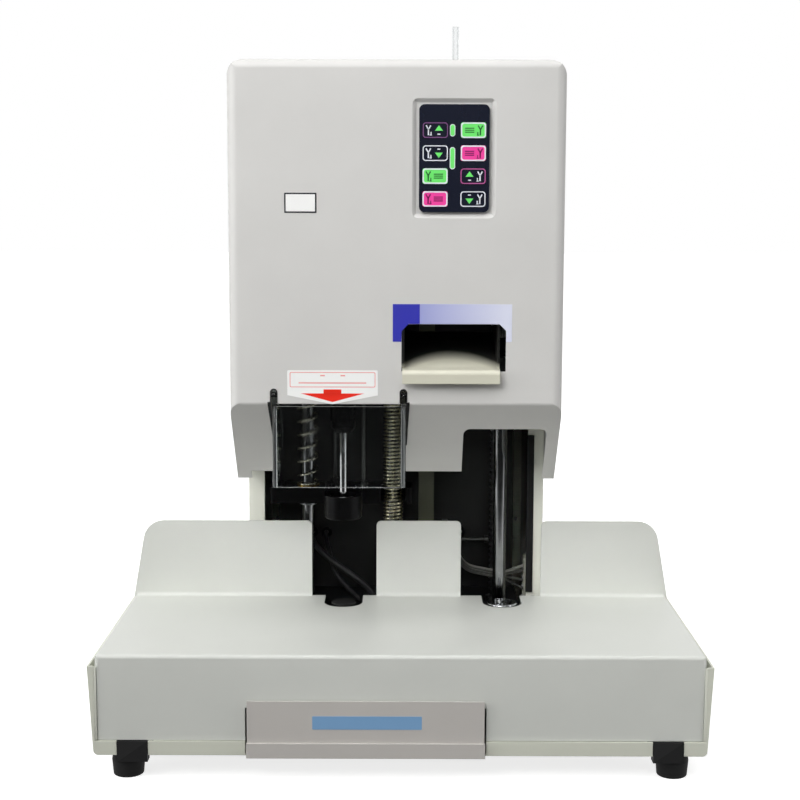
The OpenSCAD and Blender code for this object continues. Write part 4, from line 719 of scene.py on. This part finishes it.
# %% Threads
def thread(name, x, body):
    low, high, lead, root, crest, sides = frame_top + 6, 409.0, 5.0, 4.9, 6.0, 28
    last = (int((high - low) / lead) - 1) * sides
    section = [(root, -0.5), (root, -0.28), (crest, -0.17), (crest, 0.17), (root, 0.28)]
    points, faces = [], []
    for i in range(last + 1):
        turn = 2 * pi * i / sides
        rise = low + lead / 2 + lead * i / sides
        points += [(x + r * cos(turn), screw_y + r * sin(turn), rise + up * lead) for r, up in section]
    n = len(section)
    for i in range(last):
        faces += [(a, a + n, a + n + 1, a + 1) for a in range(i * n, i * n + n - 1)]
        a, up = i * n + n - 1, (i + sides) * n
        if i + sides < last:
            faces.append((a, a + n, up + n, up))
    shaft = [(0.01, -6.9), (4.0, -6.9), (4.0, 0.4), (9, 0.4), (9, 4.6), (8.6, 5), (4.95, 6)]
    shaft = [(r, frame_top + up) for r, up in shaft] + [(4.95, 410), (0.01, 410)]
    core = turned_part(shaft, (x, screw_y, 0))
    return piece(name, *joined((points, faces), core), machined_steel, "machined_steel", body)


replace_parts(thread("drill_screw_thread", right_x, "drill_lead_screw"), "drill_screw")
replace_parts(thread("rivet_screw_thread", rivet_x, "rivet_lead_screw"), "rivet_screw")

# %% [markdown]
# ## The clear shield
# It is one sheet of 3 mm acrylic: the front, and a bellied wing at each side
# that hangs from a pin. The wings are bent over a hot wire, so the corners are
# round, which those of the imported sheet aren't. The top and bottom edges are
# flamed and catch the light as thin bright lines. The wings' edges are sawn.

# %% Shield
front_low, front_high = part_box("safety_shield")[0].z / MM, 265.0
pin_y, pin_z, ear_r = -131.0, 273.0, 3.5
sheet, shield_out, wing_depth, sheet_bend = 3.0, 49.5, 67.0, 4.0
face_y = -136.0
bend_y = face_y + sheet_bend


def wing(side):
    """One wing: its outline in YZ, then its two faces a sheet's thickness apart."""
    middle, half = (front_low + front_high) / 2, (front_high - front_low) / 2
    outline = [(bend_y, front_low)] + arc(face_y, middle, wing_depth, half, -84, 164, 30)
    outline += arc(pin_y, pin_z, ear_r, ear_r, 0, 180, 12)
    outline += [(pin_y - ear_r, front_high + 2), (bend_y, front_high)]
    n = len(outline)
    points = [(drill_x + side * out, y, z) for out in (shield_out - sheet, shield_out) for y, z in outline]
    faces = [tuple(range(n)), tuple(reversed(range(n, 2 * n)))]
    faces += [(k, k + n, (k + 1) % n + n, (k + 1) % n) for k in range(n)]
    return points, faces


def bent_front():
    """The front sheet with its two hot-bent corners, as one strip."""
    outer, inner = [], []
    for side in (-1, 1):
        cx = drill_x + side * (shield_out - sheet_bend)
        for k in range(7)[::side]:
            a = radians(90 * k / 6)
            for ring, radius in ((outer, sheet_bend), (inner, sheet_bend - sheet)):
                ring.append((cx + side * radius * sin(a), bend_y - radius * cos(a)))
    n = len(outer)
    points = [(x, y, z) for z in (front_low, front_high) for x, y in outer + inner]
    faces = []
    for o in range(n - 1):
        i, top = n + o, 2 * n
        faces += [(o, o + 1, o + 1 + top, o + top), (i + 1, i, i + top, i + 1 + top)]
        faces += [(i, i + 1, o + 1, o), (o + top, o + 1 + top, i + 1 + top, i + top)]
    faces += [(0, 2 * n, 3 * n, n), (n - 1, 2 * n - 1, 4 * n - 1, 3 * n - 1)]
    return points, faces


shield_sheet = joined(bent_front(), wing(-1), wing(1))
shield = piece("shield_bent_sheet", *shield_sheet, clear_acrylic, "clear_acrylic", "shield", sharp=30)
shield.data.materials.append(acrylic_edge)
shield.data.materials.append(wing_edge)
for face in shield.data.polygons:
    if abs(face.normal.x) < 0.1 and face.center.y > bend_y * MM:
        face.material_index = 2
    elif abs(face.normal.z) > 0.9:
        face.material_index = 1
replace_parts(shield, "safety_shield")

# %% [markdown]
# ## Dark trims
# The shield's wings pass the face through two slots. A black rim stands round
# each slot on the outer side, open below, and runs on down the edges of the
# notch in the lip: it stands for the dark gap there and is painted shadow beside
# it. A black strip over the column shell's inner edge beside the rivet station is
# painted shade, for the dark bay behind. A cream bead closes the seam between the
# cover's corners and the pan.

# %% Trims
slot_top, slot_half, rim_width, slot_low = pin_z + 4.6, 2.0, 0.8, 267.6
notch_edge, bend_z, lip_slope = 50.02, 267.0, 49 / 59
# Black rims at the slots and down the notch edges: the dark gap, and painted shadow beside it.
for hand, side in (("left", -1), ("right", 1)):
    slot_rims = []
    for half in (slot_half + rim_width, slot_half):
        x = drill_x + side * 48.0
        top = arc(x, slot_top - slot_half, half, half, 0, 180, 12)
        slot_rims.append([(x + half, slot_low)] + top + [(x - half, slot_low)])
    slot_shadow_rim = rim_film(*slot_rims, face_y - 0.01, 0.5, closed=False)
    piece("slot_shadow_rim_" + hand, *slot_shadow_rim, foot_rubber, "foot_rubber")
for hand, side in (("left", -1), ("right", 1)):
    points = []
    for z, width in ((268.5, 2.6), (267, 2.6), (262, 2.3), (245, 1.3), (232, 0.8)):
        back = max(bend_z - z, 0) * lip_slope
        for out, deep in ((0, 0.5), (width, 0.5), (width, -0.25), (0, -0.5)):
            points.append((drill_x + side * (notch_edge + out), face_y + back + deep * 0.77, z + deep * 0.64))
    piece("notch_shadow_strip_" + hand, points, bands(5, 4), foot_rubber, "foot_rubber")
pan_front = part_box("base_pan")[0].y / MM
skirt_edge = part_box("table_cover")[1].x / MM
for hand, side in (("left", -1), ("right", 1)):
    x0, x1 = sorted((side * (skirt_edge - 1.2), side * (skirt_edge + 0.45)))
    bead = chamfered_box((x0, pan_front + 0.35, 30.0), (x1, pan_front + 1.6, 84.5), 0.25)
    piece("skirt_seal_" + hand, *bead, seal_rubber, "cream_paint")
# Painted shade: a black strip over the flange's inner edge, for the dark bay behind.
shade_strip = chamfered_box((103.9, -19.3, 94.0), (109.6, -18.02, 226.0), 0.4)
piece("column_edge_shade_strip", *shade_strip, foot_rubber, "foot_rubber")

# %% [markdown]
# ## Keypad
# Eight keys are printed on a navy film in a pressed recess. Two keys of each
# station are outlines with a green arrow, one starts it in green and one resets
# it in pink. Each has a small forked tool mark. The lines are ink, so they are
# films a tenth of a millimetre thick that ride on their key.

# %% Key graphics
key_w, key_h, key_pitch, key_out, ink_mm = 18.3, 11.2, 16.45, 13.8, 0.1
pad_x, pad_z, top_row = 37.8, 447.0, 20.2
key_face = -136.8


def stroke(x0, z0, x1, z1, width):
    """A straight line of ink with its ends drawn out by a fifth of its width."""
    start, end = Vector((x0, z0)), Vector((x1, z1))
    along = (end - start).normalized()
    across = Vector((-along.y, along.x)) * width / 2
    tip = along * width * 0.2
    a, b = start - tip, end + tip
    return film([tuple(p) for p in (a + across, a - across, b - across, b + across)], key_face, ink_mm, 0.02)


def tool_mark(x, z, lean):
    """A forked tool with a small clamp beside its foot."""
    clamp = x + 1.9 * lean
    return joined(
        stroke(x, z - 3.4, x, z + 0.6, 1.0),
        stroke(x, z + 0.4, x - 1.6, z + 3.2, 0.9),
        stroke(x, z + 0.4, x + 1.6, z + 3.2, 0.9),
        stroke(clamp, z - 3.4, clamp, z - 1.4, 0.7),
        stroke(x + 1.0 * lean, z - 3.5, x + 2.4 * lean, z - 3.5, 0.6),
    )


start, reset = ("key_green", 1.0, ink_white, ink_moss, 0), ("key_pink", 1.0, ink_white, ink_plum, 0)
plain_down = ("keypad_film", 0.75, ink_white, ink_white, -1)
styles = {
    "key_left_1": ("keypad_film", 0.75, ink_mauve, ink_white, 1), "key_left_2": plain_down,
    "key_left_3": start, "key_left_4": reset, "key_right_1": start, "key_right_2": reset,
    "key_right_3": ("keypad_film", 0.75, ink_rose, ink_white, 1), "key_right_4": plain_down,
}
for name, (slot, line, line_ink, mark_ink, arrow) in styles.items():
    side = -1 if "left" in name else 1
    x = pad_x + side * key_out
    z = pad_z + top_row - key_pitch * (int(name[-1]) - 1)
    outer = round_rect(x, z, key_w - 0.1, key_h - 0.1, 2.2)
    inner = round_rect(x, z, key_w - 2 * line, key_h - 2 * line, 1.6)
    piece(name + "_outline", *rim_film(outer, inner, key_face, ink_mm), line_ink, slot, name)
    piece(name + "_tool_mark", *tool_mark(x + side * 5.0, z, -side), mark_ink, slot, name)
    cx, cz = x - side * 2.6, z + arrow * 1.3
    if arrow:
        head = [(cx - 2.9, cz - 1.7 * arrow), (cx + 2.9, cz - 1.7 * arrow), (cx, cz + 2.2 * arrow)]
        piece(name + "_arrow", *film(head[::arrow], key_face, ink_mm), ink_green, slot, name)
        dash = stroke(cx - 0.9, z - arrow * 2.9, cx + 0.9, z - arrow * 2.9, 0.8)
        piece(name + "_dash", *dash, mark_ink, slot, name)
    else:
        bars = joined(*[stroke(cx - 3.4, z + up, cx + 3.0, z + up, 0.7) for up in (-1.4, 0, 1.4)])
        piece(name + "_bars", *bars, mark_ink, slot, name)

# %% Lamp windows between the keys
window_x, window_w = 36.5, 3.9
for name, high, low in (("upper_lamp_window", 471.5, 462.7), ("lower_lamp_window", 455.1, 439.2)):
    z, tall = (high + low) / 2, high - low
    outer = round_rect(window_x, z, window_w, tall, 1.9)
    inner = round_rect(window_x, z, window_w - 1, tall - 1, 1.4)
    piece(name, *film(outer, -136.6, 0.14), ink_green, "keypad_film")
    piece(name + "_rim", *rim_film(outer, inner, -136.72, 0.06), ink_white, "keypad_film")

# %% [markdown]
# ## Labels
# Three vinyl labels and a small printed plate are stuck on the covers and the
# drawer. They are left bare of words here. A label is 0.15 mm thick.


# %% Labels
def label(name, outline, y, material, thickness=0.15, slot="cover_paint", body="root"):
    piece(name, *film(outline, y - 0.02, thickness), material, slot, body)


def box_outline(x0, x1, z0, z1):
    return [(x0, z0), (x0, z1), (x1, z1), (x1, z0)]


outlet_end = [(-6.48, 341.28), (13.4, 341.28), (13.4, 326.72), (5.02, 326.68), (0.02, 321.5), (-0.18, 313.52),
              (-6.48, 313.52)]
outlet_arch = [(-6.5, 341.3), (81.2, 341.3), (81.2, 313.5), (77.2, 313.5), (77.2, 321.5), (72, 326.7),
               (5, 326.7), (0, 321.5), (-0.2, 313.5), (-6.5, 313.5)]
label("outlet_label_end", outlet_end, face_y - 0.15, label_indigo, 0.03)
label("outlet_label", outlet_arch, face_y, label_lavender)
plate_x, plate_z = -74.0, 414.8
label("name_plate_rim", round_rect(plate_x, plate_z, 23.6, 14.6, 0.5), face_y, label_black)
label("name_plate", round_rect(plate_x, plate_z, 21.4, 12.4, 0.3), face_y - 0.16, label_white, 0.05)
arrow_x, printed_y = -50.9, face_y - 0.17
arrow_label = [(-84.4, 291.6), (-83.8, 292.2), (-18.0, 292.2), (-17.4, 291.6), (-17.4, 273.6), (arrow_x, 266.9),
               (-84.4, 273.6)]
label("arrow_label", arrow_label, face_y, label_white)
label("arrow_shaft", box_outline(-57.6, -44.4, 278.0, 274.6)[::-1], printed_y, label_red, 0.04)
label("arrow_head", [(-74.5, 275.0), (-27.5, 275.0), (arrow_x, 268.6)], printed_y, label_red, 0.04)
rules = [round_rect(arrow_x, 285.2, 63.4 - cut, 11.4 - cut, radius) for cut, radius in ((0, 1.2), (1.2, 0.8))]
piece("arrow_label_rule", *rim_film(*rules, printed_y, 0.04), label_rose, "cover_paint")
rows = ((-60.0, -56.6, 288.3, 1.1), (-45.0, -41.6, 288.3, 1.1), (-76.0, -26.0, 282.8, 0.9))
for number, (x0, x1, z, thick) in enumerate(rows, 1):
    row = box_outline(x0, x1, z - thick / 2, z + thick / 2)
    label("arrow_label_line_%d" % number, row, printed_y + 0.02, label_rose, 0.04)
drawer_strip = round_rect(-24.0, 44.2, 78.8, 9.8, 0.4)
label("drawer_label", drawer_strip, -198.5, label_blue, slot="drawer_paint", body="drawer")

# %% [markdown]
# ## Cables
# Two black cables, for the sensors and the lamp, and a bundle of grey leads come
# through rubber grommets in the back plate and follow the route of the packed
# solids. The leads fan out at the terminal strip.

# %% Harness
plate_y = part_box("back_plate")[1].y / MM - 6.0
gland_z, cable_end = 122.0, frame_top + 0.4
routes = {
    "sensor_cable": (5, [(-79.5, plate_y + 6, gland_z), (-79.5, plate_y - 12, gland_z), (-74, 38, 121),
                         (-62, 22, 113), (-44, 17, 101), (-30, 16, 90), (-23, 17, cable_end + 7),
                         (-22, 17, cable_end)]),
    "lamp_cable": (4, [(-66.5, plate_y + 6, gland_z), (-66.5, plate_y - 16, gland_z - 1), (-62, 44, 112),
                       (-56, 29, 98), (-46, 26, 86), (-38, 27, 78), (-36, 27, cable_end)]),
    "heater_cable": (9, [(50.5, plate_y + 6, gland_z), (50.5, plate_y - 18, gland_z - 2), (50, 36, 112),
                         (57, 18, 106), (72, 13, 103), (90, 13, 100), (105.5, 14, 98)]),
}
lead_widths, bundle_r, twist, fan_x = (2.8, 2.8, 1.8, 1.8, 1.8, 1.5, 1.5), 2.6, 0.012, 88


def leads(path):
    """The leads of the bundle, which twist slowly and fan out upwards past fan_x."""
    wires = []
    for k, wide in enumerate(lead_widths):
        lead = []
        for i, spot in enumerate(path):
            turn = 2 * pi * k / len(lead_widths) + twist * i
            fan = 1 + 3.2 * (max(0, (spot.x - fan_x) / 17) if i > 20 else 0)
            lead.append(spot + Vector((0, bundle_r * cos(turn), bundle_r * sin(turn) * fan)))
        wires.append(swept(lead, wide / 2, 8))
    return wires


harness = []
for name, (width, knots) in routes.items():
    path = smooth_path(knots)
    if name == "heater_cable":
        wires = leads(path)
        harness.append(piece("heater_leads", *joined(*wires[:2]), cable_white, "cable_sheath"))
        harness.append(piece("sensor_leads", *joined(*wires[2:]), cable_grey, "cable_sheath"))
    else:
        harness.append(piece(name, *swept(path, width / 2, 14), cable_black, "cable_sheath"))
    profile = ring_profile(width / 2 + 0.05, width / 2 + 2.6, -1.8, 0, 0.6)
    grommet = turned_part(profile, (knots[0][0], plate_y, gland_z), "Y", 28)
    piece(name + "_grommet", *grommet, foot_rubber, "cable_sheath")

# %% Terminal strip
strip_x, strip_y0, strip_y1, strip_top, way_pitch = 104.5, 6.0, 24.0, 117.0, 8.5
strip = [chamfered_box((strip_x, strip_y0, frame_top), (strip_x + 7, strip_y1, strip_top), 0.6)]
for z in np.arange(frame_top + 5, strip_top - 3, way_pitch):
    low, high = (strip_x - 0.6, strip_y0 + 0.4, z), (strip_x + 7.2, strip_y1 - 0.4, z + 1.4)
    strip.append(chamfered_box(low, high, 0.3))
harness.append(piece("terminal_strip", *joined(*strip), terminal_plastic, "cable_sheath"))
for made in harness:
    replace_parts(made, "wire_harness")
terminal_head = [(0.01, -1.4), (2.1, -1.4), (2.5, -1.0), (2.5, 0.2), (0.01, 0.2)]
strip_middle = (strip_y0 + strip_y1) / 2
head_places = [(strip_x, strip_middle, z) for z in np.arange(frame_top + 10, strip_top - 4, way_pitch)]
terminal_screws = joined(*[turned_part(terminal_head, place, "X", 18) for place in head_places])
piece("terminal_screws", *terminal_screws, screw_zinc, "machined_steel")

# %% Limit rod beside the rivet column
rod_x0, rod_x1, rod_y, rod_z = 41.0, 76.0, 30.0, 128.0
rod_profile = [(0.01, rod_x0), (1.6, rod_x0), (1.6, rod_x1 - 4), (3.0, rod_x1 - 4), (3.3, rod_x1 - 3.5),
               (3.3, rod_x1 - 1), (2.4, rod_x1), (0.01, rod_x1)]
limit_rod = turned_part(rod_profile, (0, rod_y, rod_z), "X", 20)
piece("limit_rod", *limit_rod, phosphated_steel, "machined_steel")
rod_foot = chamfered_box((rod_x0 - 4, rod_y - 5, rod_z - 6), (rod_x0 + 1, plate_y - 0.02, rod_z + 6), 0.5)
piece("limit_rod_bracket", *rod_foot, black_coat, "black_steel")

# %% [markdown]
# ## Fasteners
# Pan-head screws with a dished cross recess close the rear cover and the head.
# Socket-head screws clamp the press bar and the seats of anvil and die.


# %% Screw heads
def pan_head(place, axis, sign, width=7.0, height=2.2):
    """A domed head with a cross-shaped recess, as rings of 32 points."""
    sides = 32
    dome = ((0.5, 0), (0.5, 0.35), (0.46, 0.72), (0.33, 0.95), (0.27, 1))
    points = [(x, y, height * up) for radius, up in dome for x, y in circle(width * radius, sides)]
    for depth, reach in ((0.0, 0.24), (0.9, 0.2)):
        for x, y in circle(1, sides):
            radius = width * (reach if max(abs(x), abs(y)) > 0.93 else 0.075)
            points.append((radius * x, radius * y, height - depth))
    placed = []
    for x, y, z in points:
        local = {"Y": (x * sign, z * sign, y), "X": (z * sign, x * sign, y)}[axis]
        placed.append(Vector(place) + Vector(local))
    rows = len(dome) + 2
    return placed, bands(rows, sides, capped=False) + [tuple(range((rows - 1) * sides, rows * sides))]


def socket_head(place, width=5.5, height=4.0):
    rim, socket = width / 2, 0.27 * width
    profile = [(rim, 0), (rim, height - 0.4), (rim - 0.4, height), (socket + 0.2, height),
               (socket, height - 0.2), (socket, height * 0.45), (0.01, height * 0.4)]
    return turned_part(profile, place, "Z", 24)


cover_x, cover_y = -4, 189.5
screws = [pan_head((cover_x + side * 115.0, cover_y, z), "Y", 1) for side in (-1, 1) for z in (113, 250, 368)]
screws += [pan_head((cover_x + side * 123.5, 158, z), "X", side) for side in (-1, 1) for z in (226.5, 473)]
cover_screw_heads = piece("cover_screw_heads", *joined(*screws), screw_zinc, "machined_steel", sharp=30)
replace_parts(cover_screw_heads, "cover_screws")

# %% Socket screws
bar_screws = [socket_head((x, y, bar_top - 0.01)) for x, y in ((-57, -24), (-36, -24), (-98, -8), (-60, -12))]
piece("press_bar_screws", *joined(*bar_screws), black_oxide, "black_steel", "press")
seat_screws = []
for seat_x, out, width, height in ((rivet_x, 15.6, 3.6, 2.6), (drill_x, 16.6, 3.0, 2.4)):
    for a in (radians(45), radians(135), radians(225), radians(315)):
        spot = (seat_x + out * cos(a), station_y + out * sin(a), frame_top + 4)
        seat_screws.append(socket_head(spot, width, height))
piece("seat_screws", *joined(*seat_screws), screw_zinc, "machined_steel")

# %% [markdown]
# ## Chuck
# The hollow bit sits in a collet chuck of blackened steel. Its nut is knurled
# with straight ridges 1.2 mm apart over a band 12 mm long, which break the one
# long highlight of a plain cylinder into a row.

# %% Knurled nut
chuck_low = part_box("drill_chuck")[0].z / MM
nut_r, nut_low, nut_high, ridges, ridge_h = 10.1, chuck_low + 9, chuck_low + 21, 52, 0.35
points = []
for z, grow in ((nut_low, -ridge_h), (nut_low + 0.6, 0), (nut_high - 0.6, 0), (nut_high, -ridge_h)):
    for k, (x, y) in enumerate(circle(1, 2 * ridges)):
        r = nut_r + grow + (ridge_h if k % 2 and grow == 0 else 0)
        points.append((drill_x + r * x, station_y + r * y, z))
nut = points, bands(4, 2 * ridges, capped=False)
piece("chuck_knurled_nut", *nut, black_oxide, "black_steel", "spindle", sharp=20)
ring_steps = [(r, chuck_low + h) for r, h in ((10.02, 24), (10.5, 24.4), (10.5, 26), (10.02, 26.4))]
chuck_ring = turned_part(ring_steps, (drill_x, station_y, 0))
piece("chuck_ring", *chuck_ring, black_oxide, "black_steel", "spindle")

# %% [markdown]
# ## Inlet and rocker switch
# The inlet has its two fixing screws, and the rocker carries the usual bar and
# ring for on and off, inlaid in its face in white.

# %% Rocker marks
face_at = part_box("rocker_switch")[1].y / MM
bar_mark = chamfered_box((79.6, face_at - 1.5, 172.2), (80.4, face_at - 0.35, 174.6), 0.1)
piece("rocker_on_mark", *bar_mark, ink_white, "inlet_plastic", "rocker")
ring_mark = [(1.0, 0), (1.35, 0), (1.35, 0.9), (1.0, 0.9), (1.0, 0)]
off_mark = turned_part(ring_mark, (80, cover_y + 1.65, 162.6), "Y", 24)
piece("rocker_off_mark", *off_mark, ink_white, "inlet_plastic", "rocker")
screw_dome = [(2.4, 0), (2.4, 0.5), (1.4, 1.1), (0.01, 1.1)]
inlet_screws = joined(*[turned_part(screw_dome, (x, 192.0, 168), "Y", 20) for x in (39.6, 92.4)])
piece("inlet_screws", *inlet_screws, screw_zinc, "machined_steel")

# %% Validate the imported meshes
for made in bpy.context.scene.objects:
    if made.type == "MESH" and made.get("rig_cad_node"):
        made.data.validate()
